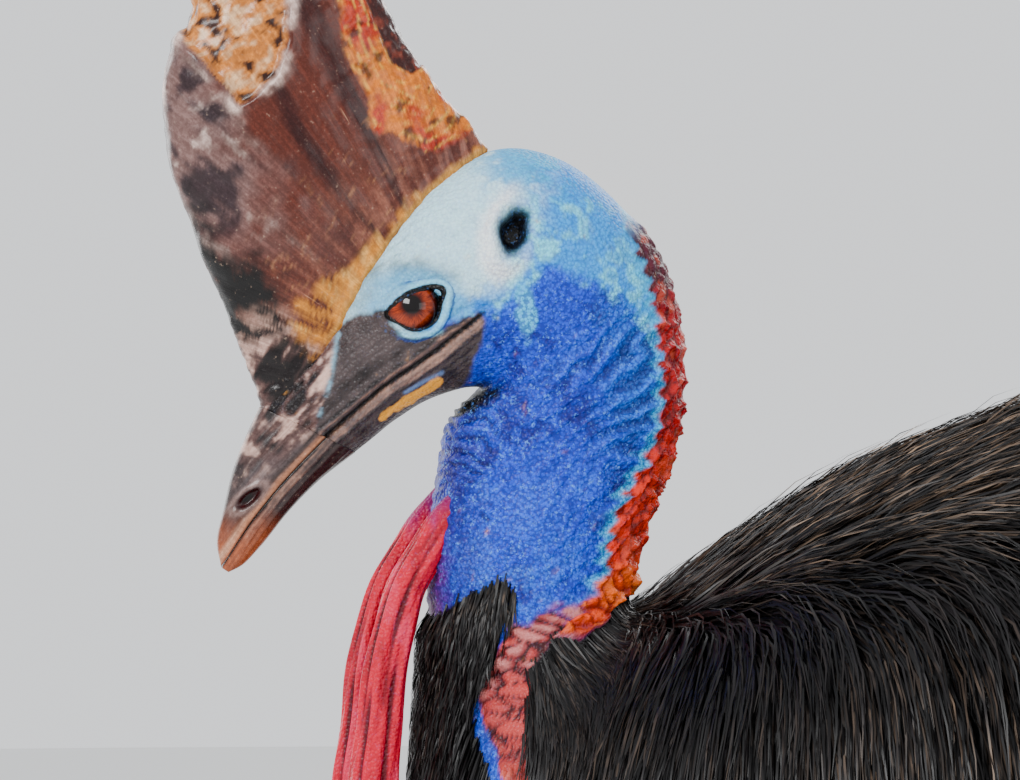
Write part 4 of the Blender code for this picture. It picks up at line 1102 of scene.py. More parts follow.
    def paint(self, points: Array, place: Array) -> Array:
        """Colours of the skin by place, scene-linear, layered from the cobalt neck up.

        Args:
            points: Places on the surface.
            place: Where they lie along the stations.
        Returns:
            The colours, scene-linear.
        """
        y, z = points[:, 1], points[:, 2]
        soft, fine = layered(points, 0.014, 50), layered(points, 0.0045, 60)
        colour = flood(points, (40, 92, 220))
        colour = blend(colour, (30, 48, 168), smooth(0.0, 0.8, soft + 0.4 * fine))
        colour = blend(colour, (64, 122, 240), smooth(0.1, 0.9, -soft) * 0.8)
        lower = smooth(1.000, 0.950, z) * smooth(0.0, 0.5, fine + 0.3)
        colour = blend(colour, (58, 132, 240), lower * 0.6)
        nape = smooth(-0.348, -0.318, y + fine * 0.006) * smooth(0.990, 1.04, z)
        colour = blend(colour, (40, 140, 236), nape * 0.8)
        throat, slanting = self.folds(points, place)
        # Painted shade in the throat's creases and painted highlights on its folds, from the same folds as
        # the relief.
        colour = blend(colour, (22, 18, 78), smooth(0.15, 0.9, -throat) * 0.8)
        colour = blend(colour, (120, 130, 236), smooth(0.4, 1.0, throat) * 0.4)
        # Painted shade in the slanting creases of the neck.
        crease_shade = smooth(-0.2, -0.9, slanting) * smooth(9.0, 10.5, place)
        colour = blend(colour, (16, 28, 110), crease_shade * 0.6)
        colour = self.paint_cheek(colour, points, fine, soft)
        front = smooth(-0.388, -0.404, y + soft * 0.004) * smooth(1.046, 1.036, z)
        colour = blend(colour, (52, 40, 150), front * 0.55)
        purple = front * smooth(-0.405, -0.414, y + fine * 0.002) * smooth(0.995, 0.975, z)
        colour = blend(colour, (150, 44, 120), purple * 0.7)
        # Painted shadow in the hollow between the jaw and the throat.
        gular_shadow = oval_distance(points, (-0.4000, 1.0350), (0.0190, 0.0068), 0.35)
        colour = blend(colour, (8, 6, 16), 1 - smooth(0.6, 1.3, gular_shadow + fine * 0.2))
        colour = self.paint_hind_neck(colour, points, place, fine)
        colour = self.paint_face(colour, points, place, fine, soft)
        feathered = self.face.feathered(points, 0.0)
        return blend(colour, (9, 8, 9), smooth(0.0, 0.0012, feathered) * smooth(14.0, 15.0, place))

    def paint_cheek(self, colour: Array, points: Array, fine: Array, soft: Array) -> Array:
        """Lays the turquoise and the near-white skin of the crown and cheek.

        Args:
            colour: The colours so far.
            points: Places on the surface.
            fine: Fine noise there.
            soft: Soft noise there.
        Returns:
            The colours, scene-linear.
        """
        y, z = points[:, 1], points[:, 2]
        cheek = line_distance(points, self.face.cheek) + fine * 0.0035 + soft * 0.003
        turquoise = blend(flood(points, (34, 168, 236)), (130, 226, 246), smooth(0.0, 0.7, fine + soft))
        colour = blend(colour, turquoise, smooth(-0.0045, 0.0035, cheek))
        ahead = y + soft * 0.012 + fine * 0.004 - 0.25 * (z - 1.110)
        pale = smooth(-0.362, -0.394, ahead) * smooth(0.000, 0.009, cheek)
        colour = blend(colour, (206, 238, 246), pale * 0.94)
        # Grey lines painted as the shade in fine wrinkles of the pale skin.
        wrinkle_shade = bell(layered(points, 0.007, 55), 0.07) * smooth(0.000, 0.009, cheek)
        colour = blend(colour, (132, 168, 188), wrinkle_shade * smooth(-0.4, 0.4, soft) * 0.45)
        crown = smooth(1.122, 1.136, z) * smooth(-0.402, -0.380, y)
        colour = blend(colour, (30, 176, 226), crown * smooth(-0.5, 0.3, fine + soft) * 0.8)
        mottled = smooth(-0.352, -0.330, ahead) * smooth(0.002, 0.010, cheek) * smooth(0.0, 0.5, fine)
        colour = blend(colour, (24, 150, 214), mottled * 0.7)
        spot = oval_distance(points, (-0.3745, 1.0760), (0.0045, 0.0125), 0.15)
        colour = blend(colour, (96, 208, 246), (1 - smooth(0.7, 1.2, spot + fine * 0.3)) * 0.9)
        edge = oval_distance(points, (-0.4030, 1.0805), (0.0130, 0.0045), -0.15)
        return blend(colour, (40, 150, 226), (1 - smooth(0.6, 1.2, edge + fine * 0.3)) * 0.75)

    def paint_hind_neck(self, colour: Array, points: Array, place: Array, fine: Array) -> Array:
        """Lays the stripe, its cyan fringe, the orange bulbs and the salmon patch.

        Args:
            colour: The colours so far.
            points: Places on the surface.
            place: Where they lie along the stations.
            fine: Fine noise there.
        Returns:
            The colours, scene-linear.
        """
        z = points[:, 2]
        edge = self.stripe_edge(points)
        fringe = smooth(-0.0060, -0.0012, edge + fine * 0.0015) * smooth(8.2, 9.2, place)
        fringe *= (1 - smooth(18.0, 19.0, place)) * smooth(0.940, 0.960, z)
        colour = blend(colour, (72, 202, 246), fringe * 0.95)
        stripe, patch, salmon = self.hind_neck(points, place)
        red = flood(points, (104, 40, 62))
        red = blend(red, (196, 30, 34), smooth(1.100, 1.065, z + fine * 0.01))
        red = blend(red, (226, 62, 20), smooth(1.030, 0.995, z + fine * 0.01))
        seams, tone = cells(points, *self.lumps)
        red = blend(red, (72, 16, 30), (1 - smooth(0.02, 0.22, seams)) * 0.8)
        red = blend(red, (236, 116, 84), (tone > 0.8) * 0.35)
        colour = blend(colour, red, stripe)
        bulbs, glow = cells(points, *self.bulbs)
        orange = blend(flood(points, (238, 92, 12)), (252, 150, 26), glow * 0.6)
        orange = blend(orange, (150, 26, 8), (1 - smooth(0.02, 0.24, bulbs)) * 0.9)
        colour = blend(colour, orange, patch)
        plates, hue = cells(points * np.array(self.plate_shape), *self.plates)
        flesh = blend(flood(points, (204, 92, 88)), (140, 48, 60), hue * 0.9)
        pale = smooth(0.12, 0.34, plates + fine * 0.1) * (hue > 0.45)
        flesh = blend(flesh, (224, 160, 156), pale * 0.55)
        flesh = blend(flesh, (78, 20, 34), 1 - smooth(0.03, 0.16, plates))
        flesh = blend(flesh, (232, 96, 36), smooth(0.872, 0.850, z + fine * 0.006) * 0.8)
        return blend(colour, flesh, salmon)

    def paint_face(self, colour: Array, points: Array, place: Array, fine: Array, soft: Array) -> Array:
        """Lays the ear with painted shade in its hole, the skin round the eye, the dark lores and the jaw.

        Args:
            colour: The colours so far.
            points: Places on the surface.
            place: Where they lie along the stations.
            fine: Fine noise there.
            soft: Soft noise there.
        Returns:
            The colours, scene-linear.
        """
        y, z = points[:, 1], points[:, 2]
        ear = self.face.ear_rings(points)
        ring = bell(ear - 1.60, 0.45) * smooth(0.012, -0.006, y - self.face.ear[0])
        colour = blend(colour, (246, 250, 250), ring * 0.9)
        # Painted shade darkening into the ear hole, near black at its bottom.
        colour = blend(colour, (56, 84, 100), (1 - smooth(0.85, 1.25, ear)) * 0.8)
        colour = blend(colour, (30, 34, 42), 1 - smooth(0.75, 1.02, ear))
        colour = blend(colour, self.ear_shade_colour, 1 - smooth(0.5, 0.9, ear))
        eye = oval_distance(points, self.face.eye, self.face.socket)
        brow = smooth(1.086, 1.092, z) * (1 - smooth(1.8, 3.0, eye)) * smooth(-0.400, -0.410, y)
        colour = blend(colour, (92, 108, 116), brow * (0.55 + 0.45 * fine))
        near = (1 - smooth(1.5, 2.4, eye)) * smooth(1.070, 1.076, z)
        colour = blend(colour, (112, 190, 226), near * 0.75)
        before = smooth(-0.436, -0.446, y) * smooth(1.062, 1.070, z)
        colour = blend(colour, (146, 176, 188), before * 0.6 * (0.7 + 0.5 * fine))
        return self.paint_jaw(colour, points, place, fine, soft)

    def paint_jaw(self, colour: Array, points: Array, place: Array, fine: Array, soft: Array) -> Array:
        """Lays the dark skin that carries on from the bill, lined along the mouth, with painted shade in
        the mouth's groove.

        Args:
            colour: The colours so far.
            points: Places on the surface.
            place: Where they lie along the stations.
            fine: Fine noise there.
            soft: Soft noise there.
        Returns:
            The colours, scene-linear.
        """
        y = points[:, 1]
        on_face = 1 - smooth(6.2, 7.0, place)
        lore = line_distance(points, self.face.lore)
        dark = smooth(0.0012, -0.0012, lore + fine * 0.0012) * on_face
        mouth = line_distance(points, self.face.mouth)
        skin = horn_lines(points, mouth, fine, soft)
        colour = blend(colour, skin, dark)
        brow = line_distance(points, self.face.brow_line)
        root = smooth(0.0004, -0.0012, brow) * smooth(0.0050, 0.0085, mouth) * on_face
        colour = blend(colour, root_streaks(points), root)
        line = bell(brow, 0.0010) * on_face
        colour = blend(colour, (150, 186, 204), line * smooth(-0.3, 0.5, fine) * 0.8)
        yellow = bell(line_distance(points, self.face.yellow), 0.0026) * on_face
        yellow *= smooth(-0.4400, -0.4370, y) * smooth(-0.4080, -0.4105, y)
        colour = blend(colour, (240, 178, 74), smooth(0.25, 0.60, yellow + fine * 0.3))
        above = line_distance(points, self.face.gape_fold)
        colour = blend(colour, (140, 168, 214), bell(above, 0.0009) * on_face * 0.7)
        # The mouth line painted near black: painted shade in its groove.
        return blend(colour, (12, 8, 8), bell(mouth, 0.0010) * on_face)


# Tones across the mouth line, as (distance in metres, 0 dark to 1 pale). The pale bands beside the mouth
# are partly painted sheen on the lips, the dark at the line itself is painted shade in its groove, and the
# rest are the horn's own stripes.
MOUTH_STRIPES_AND_SHEEN = (
    (-0.0120, 0.30), (-0.0090, 0.22), (-0.0068, 0.40), (-0.0052, 0.16), (-0.0038, 0.72),
    (-0.0022, 0.62), (-0.0010, 0.80), (0.0000, 0.02), (0.0010, 0.10), (0.0022, 0.50), (0.0032, 0.78),
    (0.0046, 0.08), (0.0060, 0.34), (0.0100, 0.18), (0.0150, 0.32),
)


def horn_lines(points: Array, mouth: Array, fine: Array, soft: Array) -> Array:
    """Colours of the bill and the dark skin behind it: grey-brown, lined along the mouth, its pale lines
    partly painted sheen and partly the horn's own stripes.

    Args:
        points: Places on the surface.
        mouth: Their signed distances from the mouth line.
        fine: Fine noise there.
        soft: Soft noise there.
    Returns:
        Colours: a tone read from a table by the distance from the mouth, both bent by noise.
    """
    bent = mouth + 0.0009 * layered(points, 0.016, 14)
    distances, tones = np.array(MOUTH_STRIPES_AND_SHEEN).T
    tone = np.interp(bent, distances, tones) + 0.10 * fine + 0.08 * soft
    colour = flood(points, (34, 28, 30))
    colour = blend(colour, (104, 92, 92), smooth(0.0, 0.5, tone))
    return blend(colour, (196, 158, 140), smooth(0.5, 1.0, tone))


def root_streaks(points: Array) -> Array:
    """Colours of the horn where casque and bill meet: dark grey with pale, drawn-out blotches."""
    drawn = points[:, 1:] @ np.array(((0.80, 0.26), (-0.62, 0.34)))
    streak = layered(np.column_stack((points[:, 0] * 0.5, drawn)), 0.0052, 17)
    colour = blend(flood(points, (40, 30, 32)), (116, 90, 86), smooth(-0.5, 0.1, streak))
    return blend(colour, (218, 186, 174), smooth(0.05, 0.60, streak + 0.4 * layered(points, 0.004, 18)))


@dataclass
class Bill:
    """The horny bill: an upper and a lower mandible that meet along the mouth line."""

    stations: tuple = (
        (-0.492, 1.033, -0.448, 1.012, 0.0135),
        (-0.499, 1.018, -0.465, 0.999, 0.0115),
        (-0.505, 1.002, -0.479, 0.985, 0.0095),
        (-0.509, 0.985, -0.492, 0.969, 0.0070),
        (-0.512, 0.971, -0.501, 0.960, 0.0045),
        (-0.510, 0.959, -0.507, 0.957, 0.0015),
    )
    mouth: tuple = (
        (-0.520, 0.944), (-0.511, 0.958), (-0.498, 0.979), (-0.483, 0.998), (-0.462, 1.020),
        (-0.448, 1.033),
    )
    nostril: tuple = (-0.4984, 0.9912)
    nostril_half: tuple = (0.0072, 0.0030)
    nostril_tilt: float = math.radians(40)
    rows: int = 150
    columns: int = 96
    gape: float = 0.00025
    fullness: float = 2.15

    def build(self) -> None:
        """Makes both mandibles. Each ring runs round the horn on its side of the mouth line and
        back along the closed edge."""
        place = np.linspace(0.0, len(self.stations) - 1, self.rows)
        found = monotone(np.array(self.stations), place)
        tops, lows, widths = found[:, 0:2], found[:, 2:4], found[:, 4]
        share = self.mouth_share(tops, lows)
        for name, upper in (("bill_upper", True), ("bill_lower", False)):
            shape = Shape(name + "_horn")
            points = self.mandible(tops, lows, widths, share, upper)
            flat = points.reshape(-1, 3)
            flat = flat + self.relief(flat)[:, None] * ring_normals(points)
            size = points.shape[:2]
            growth, reach = line_distance(flat, self.mouth).reshape(size), flat[:, 2].reshape(size)
            paint = self.paint(flat, upper).reshape(points.shape)
            shape.grid(flat.reshape(points.shape), paint=paint, growth=growth, reach=reach)
            finish = HornFinish("bill_horn_" + name[5:], 0.30, 0.14, 900.0, 30.0, 0.0003, 0.40)
            dress(shape.build(), finish.material(), Slot.BILL, name)

    def mouth_share(self, tops: Array, lows: Array) -> Array:
        """Where the mouth line crosses each section, from 0 at its top to 1 at its low point.

        Args:
            tops: Upper points of the sections, (y, z).
            lows: Their lower points.
        Returns:
            A share for each section, evened out over nine.
        """
        samples = np.linspace(0, 1, 201)
        line = monotone(np.array(self.mouth), np.linspace(0, len(self.mouth) - 1, 400))
        found = []
        for top, low in zip(tops, lows):
            run = top + samples[:, None] * (low - top)
            gap = np.linalg.norm(run[:, None] - line[None], axis=2).min(axis=1)
            found.append(samples[gap.argmin()])
        return np.convolve(np.pad(np.array(found), 4, "edge"), np.ones(9) / 9, "valid")

    def mandible(self, tops: Array, lows: Array, widths: Array, share: Array, upper: bool) -> Array:
        """Rings of one mandible: an arc of each oval on this side of the mouth, then its edge.

        Args:
            tops: Upper points of the sections, (y, z).
            lows: Their lower points.
            widths: Their half widths.
            share: Where the mouth crosses them.
            upper: Whether it is the upper one.
        Returns:
            Points of shape rows, columns, 3.
        """
        arc = self.columns * 3 // 4
        limit = np.arccos(np.clip(signed_power(1 - 2 * share, self.fullness / 2), -1, 1))
        turn = np.linspace(-1, 1, arc)
        centre = 0.0 if upper else math.pi
        reach = limit if upper else math.pi - limit
        angle = centre + turn[None] * reach[:, None]
        outer = oval_rings(tops, lows, widths, angle, self.fullness)
        lift = unit(tops - lows) * (self.gape if upper else -self.gape)
        outer[:, :, 1:] += lift[:, None]
        back = np.linspace(0, 1, self.columns - arc + 2)[1:-1]
        bowed = outer[:, -1:] * (1 - back[None, :, None]) + outer[:, :1] * back[None, :, None]
        return np.concatenate((outer, bowed), axis=1)

    def relief(self, flat: Array) -> Array:
        """The nostril's hollow with its rim, and ridges that run along the horn.

        Args:
            flat: Places on the horn.
        Returns:
            Metres out of the plain horn.
        """
        off = oval_distance(flat, self.nostril, self.nostril_half, self.nostril_tilt)
        side = smooth(0.004, 0.006, np.abs(flat[:, 0]))
        rise = -0.0026 * (1 - smooth(0.55, 1.05, off)) * side
        rise += 0.0006 * bell(off - 1.3, 0.25) * side
        mouth = line_distance(flat, self.mouth)
        rise += 0.00018 * np.sin(mouth * 2 * math.pi / 0.0042 + layered(flat, 0.02, 4)) * side
        return rise

    def paint(self, flat: Array, upper: bool) -> Array:
        """Dark grey-brown horn, paler and browner at the tip and along its edge, with a painted highlight
        at the tip, a painted shine on the upper ridge and painted shade in the nostril and along the
        mouth.

        Args:
            flat: Places on the horn.
            upper: Whether it is the upper mandible.
        Returns:
            The colours, scene-linear.
        """
        z = flat[:, 2]
        soft, fine = layered(flat, 0.012, 70), layered(flat, 0.0045, 71)
        mouth = line_distance(flat, self.mouth)
        colour = horn_lines(flat, mouth, fine, soft)
        side = smooth(0.5, 1.0, np.abs(flat[:, 0]) / 0.009)
        if upper:
            shine = bell(mouth - 0.0105, 0.0035) * smooth(0.985, 1.0, z)
            colour = blend(colour, (150, 138, 140), shine * side * 0.6)
            root = smooth(0.994, 1.018, z + soft * 0.006) * smooth(0.0050, 0.0090, mouth)
            colour = blend(colour, root_streaks(flat), root * 0.85)
            colour = blend(colour, (206, 150, 116), bell(mouth - 0.0018, 0.0013) * 0.75)
        else:
            colour = blend(colour, (70, 46, 44), smooth(-0.0045, -0.0080, mouth) * 0.8)
        tip = smooth(0.990, 0.966, z + soft * 0.006)
        colour = blend(colour, (186, 112, 74), tip * 0.85)
        # Painted highlight: a pale streak on the tip just above the mouth.
        colour = blend(colour, (228, 190, 164), tip * bell(mouth - 0.0030, 0.0016) * 0.7)
        off = oval_distance(flat, self.nostril, self.nostril_half, self.nostril_tilt)
        if upper:
            colour = blend(colour, (176, 150, 144), bell(off - 1.4, 0.35) * 0.6)
            # Painted shade in the nostril's hollow: dark red, near black at its middle.
            colour = blend(colour, (76, 22, 28), 1 - smooth(0.8, 1.1, off))
            colour = blend(colour, (28, 8, 10), 1 - smooth(0.2, 0.8, off))
        # The mouth line painted near black: painted shade in the gap between the mandibles.
        return blend(colour, (10, 7, 7), bell(mouth, 0.0006) * 0.9)


@dataclass
class Casque:
    """The tall horny helmet, keeled in front, with lines that fan up from its golden foot."""

    face: Face
    stations: tuple = (
        (-0.480, 1.006, -0.376, 1.128, 0.0110),
        (-0.492, 1.036, -0.390, 1.158, 0.0160),
        (-0.506, 1.073, -0.404, 1.174, 0.0225),
        (-0.523, 1.114, -0.415, 1.190, 0.0250),
        (-0.535, 1.152, -0.425, 1.204, 0.0240),
        (-0.537, 1.182, -0.433, 1.220, 0.0225),
        (-0.528, 1.210, -0.440, 1.235, 0.0200),
        (-0.519, 1.236, -0.451, 1.250, 0.0165),
        (-0.505, 1.255, -0.466, 1.261, 0.0110),
        (-0.488, 1.266, -0.483, 1.267, 0.0030),
    )
    # Edges as (y, z): the hollow below the crown, the black lower front and the amber rear.
    window: tuple = (
        (-0.5305, 1.2112), (-0.5286, 1.2005), (-0.5197, 1.1907), (-0.5088, 1.1772), (-0.5046, 1.1716),
        (-0.4961, 1.1772), (-0.4871, 1.1865), (-0.4828, 1.2005), (-0.4819, 1.2219), (-0.4860, 1.2340),
        (-0.5000, 1.2390), (-0.5120, 1.2340), (-0.5240, 1.2220), (-0.5305, 1.2112),
    )
    black: tuple = (
        (-0.5390, 1.1521), (-0.5305, 1.1335), (-0.5121, 1.1098), (-0.4937, 1.1014), (-0.4838, 1.0884),
        (-0.4715, 1.0664),
    )
    amber: tuple = (
        (-0.4600, 1.2300), (-0.4568, 1.2112), (-0.4545, 1.1898), (-0.4469, 1.1791), (-0.4436, 1.1619),
        (-0.4262, 1.1535), (-0.4129, 1.1535), (-0.3960, 1.1600),
    )
    rear_plate: tuple = (
        (-0.4520, 1.2400), (-0.4445, 1.2190), (-0.4330, 1.1910), (-0.4230, 1.1860), (-0.4180, 1.1900),
    )
    # How far the gold reaches up from the foot's edge, as (height, width).
    gold_widths: tuple = (
        (1.048, -0.008), (1.060, 0.003), (1.070, 0.014), (1.082, 0.022), (1.10, 0.013),
        (1.12, 0.007), (1.15, 0.003),
    )
    fan_centre: tuple = (-0.370, 1.020)
    rows: int = 240
    columns: int = 220

    def build(self) -> None:
        """Makes the casque. Its lowest rings are sunk in the skull."""
        found = monotone(np.array(self.stations), np.linspace(0, len(self.stations) - 1, self.rows))
        angle = full_turn(self.columns)
        points = oval_rings(found[:, 0:2], found[:, 2:4], found[:, 4], angle, 2.2)
        fore = np.broadcast_to(np.cos(angle), points.shape[:2])
        flat = points.reshape(-1, 3)
        rise = self.relief(flat)
        flat = flat + rise[:, None] * ring_normals(points)
        shape = Shape("casque_horn")
        growth, reach = self.growth(flat)
        lines = {"growth": growth.reshape(points.shape[:2]), "reach": reach.reshape(points.shape[:2])}
        paint = self.paint(flat, fore.ravel()).reshape(points.shape)
        shape.grid(flat.reshape(points.shape), paint=paint, **lines)
        finish = HornFinish("casque_horn", 0.27, 0.16, 560.0, 22.0, 0.0006, 0.50)
        dress(shape.build(), finish.material(), Slot.CASQUE, "casque")

    def lines(self, flat: Array, size: float, salt: int) -> Array:
        """Noise drawn out along the growth lines, which fan out from behind the eye.

        Args:
            flat: Places on the horn.
            size: The pitch across the lines, at 0.14 from the fan's centre.
            salt: Another number gives another pattern.
        Returns:
            Noise of the fan's angle, of the distance at an eighth and of the side at a third.
        """
        growth, reach = self.growth(flat)
        return layered(np.column_stack((growth, reach * 0.12, flat[:, 0] * 0.33)), size, salt)

    def growth(self, flat: Array) -> tuple[Array, Array]:
        """Where points lie across the fan of growth lines and how far along it."""
        off = flat[:, 1:] - np.array(self.fan_centre)
        return np.arctan2(off[:, 1], -off[:, 0]) * 0.14, np.linalg.norm(off, axis=1)

    def masks(self, flat: Array) -> dict[str, Array]:
        """How much each point belongs to the parts of the horn, and its height over the foot.

        Args:
            flat: Places on the horn.
        Returns:
            Named values for each point: masks from 0 to 1, and two distances in metres.
        """
        z = flat[:, 2]
        soft, fine = layered(flat, 0.016, 90), layered(flat, 0.005, 92)
        ragged = soft * 0.004 + fine * 0.0022
        foot = -line_distance(flat, self.face.casque_foot)
        width = np.interp(z, *np.array(self.gold_widths).T)
        return {
            "foot": foot,
            "gold": smooth(width + 0.004, width - 0.004, foot + ragged * 1.3),
            "window": smooth(-0.0008, 0.0012, line_distance(flat, self.window) + fine * 0.0008),
            "rim": line_distance(flat, self.window),
            "black": smooth(-0.004, 0.008, -line_distance(flat, self.black) + ragged * 1.6),
            "amber": smooth(-0.0012, 0.0018, line_distance(flat, self.amber) + ragged * 0.7),
            "plate": smooth(-0.0006, 0.0008, line_distance(flat, self.rear_plate) + fine * 0.0006),
        }

    def relief(self, flat: Array) -> Array:
        """Growth ridges over the foot, the hollow near the crown, dents and scratches.

        Args:
            flat: Places on the horn.
        Returns:
            Metres out of the plain horn.
        """
        part = self.masks(flat)
        near = smooth(0.060, 0.015, part["foot"])
        rise = 0.00042 * self.lines(flat, 0.0030, 80) * (0.25 + near)
        rise += -0.0026 * part["window"] + 0.0012 * bell(part["rim"] + 0.0022, 0.0022)
        rise += 0.0007 * part["window"] * layered(flat, 0.007, 83)
        rise += 0.0010 * bell(part["foot"] - 0.0028, 0.0022)
        rise += part["amber"] * 0.0005 * layered(flat, 0.004, 86) - 0.0008 * part["plate"]
        return rise + 0.0008 * layered(flat, 0.018, 84) + 0.00022 * layered(flat, 0.004, 85)

    def paint(self, flat: Array, fore: Array) -> Array:
        """Red-brown horn, greyed in front, black at its lower front, golden at its foot and amber
        at its back and in its hollow.

        Args:
            flat: Places on the horn.
            fore: The cosine of each point's turn from the front.
        Returns:
            The colours, scene-linear.
        """
        z = flat[:, 2]
        part = self.masks(flat)
        soft, fine = layered(flat, 0.016, 90), layered(flat, 0.005, 92)
        streak, wide = self.lines(flat, 0.0028, 94), self.lines(flat, 0.0080, 95)
        colour = flood(flat, (116, 62, 48))
        colour = blend(colour, (76, 30, 26), smooth(0.0, 0.9, wide))
        near = smooth(0.052, 0.012, part["foot"])
        colour = blend(colour, (164, 112, 94), near * smooth(-0.5, 0.6, streak) * 0.85)
        scratch = bell(layered(flat, 0.012, 97), 0.05) * smooth(0.0, 0.4, fine + 0.1)
        colour = blend(colour, (206, 156, 116), scratch * smooth(0.07, 0.03, part["foot"]) * 0.45)
        face_on = smooth(0.10, 0.75, fore + soft * 0.35) * smooth(1.090, 1.125, z)
        grey = blend(flood(flat, (150, 124, 120)), (74, 64, 70), smooth(0.0, 0.7, soft + streak * 0.5))
        grey = blend(grey, (232, 212, 204), smooth(0.25, 0.8, wide - 0.5 * soft + 0.4 * fine))
        colour = blend(colour, grey, face_on * 0.9)
        colour = blend(colour, (24, 18, 20), part["black"] * smooth(0.9, 0.2, streak * 0.6 + fine * 0.3))
        low = oval_distance(flat, (-0.4890, 1.0560), (0.0185, 0.0240), 0.5)
        bleached = (1 - smooth(0.6, 1.15, low + soft * 0.2)) * smooth(-0.25, 0.45, streak + 0.6 * fine)
        colour = blend(colour, (214, 180, 166), bleached * 0.6)
        colour = blend(colour, root_streaks(flat), smooth(1.070, 1.058, z + soft * 0.006))
        gold = blend(flood(flat, (226, 160, 66)), (104, 46, 34), smooth(0.10, 0.75, streak))
        gold = blend(gold, (248, 206, 132), smooth(0.2, 0.8, -streak) * 0.6)
        colour = blend(colour, gold, part["gold"] * 0.95)
        edge = bell(part["foot"] - 0.0015, 0.0014) * smooth(1.060, 1.070, z)
        colour = blend(colour, (232, 178, 96), edge * 0.8)
        colour = blend(colour, self.amber_paint(flat, fine, soft), part["amber"])
        plate = blend(flood(flat, (84, 32, 26)), (150, 76, 56), smooth(0.1, 0.8, fine))
        colour = blend(colour, plate, part["plate"])
        hollow = blend(flood(flat, (216, 148, 76)), (74, 40, 26), smooth(0.15, 0.7, fine + soft * 0.6))
        hollow = blend(hollow, (244, 214, 176), smooth(0.2, 0.8, -fine) * 0.7)
        colour = blend(colour, hollow, part["window"])
        rim = bell(part["rim"] + 0.0018 + fine * 0.002 + soft * 0.0015, 0.0022)
        return blend(colour, (240, 216, 206), rim * smooth(-0.7, 0.2, wide + soft) * 0.85)

    def amber_paint(self, flat: Array, fine: Array, soft: Array) -> Array:
        """Amber with orange-red stains and yellow ridges that follow the rear edge.

        Args:
            flat: Places on the horn.
            fine: Fine noise there.
            soft: Soft noise there.
        Returns:
            The colours, scene-linear.
        """
        line = line_distance(flat, self.rear_plate)
        ridge = np.sin(line * 2 * math.pi / 0.0050 + 4.5 * layered(flat, 0.016, 99))
        colour = blend(flood(flat, (226, 140, 38)), (196, 66, 12), smooth(0.0, 0.6, soft))
        colour = blend(colour, (250, 200, 96), smooth(0.3, 0.95, ridge) * smooth(-0.5, 0.3, fine) * 0.7)
        return blend(colour, (70, 30, 14), smooth(0.35, 0.8, fine) * 0.8)


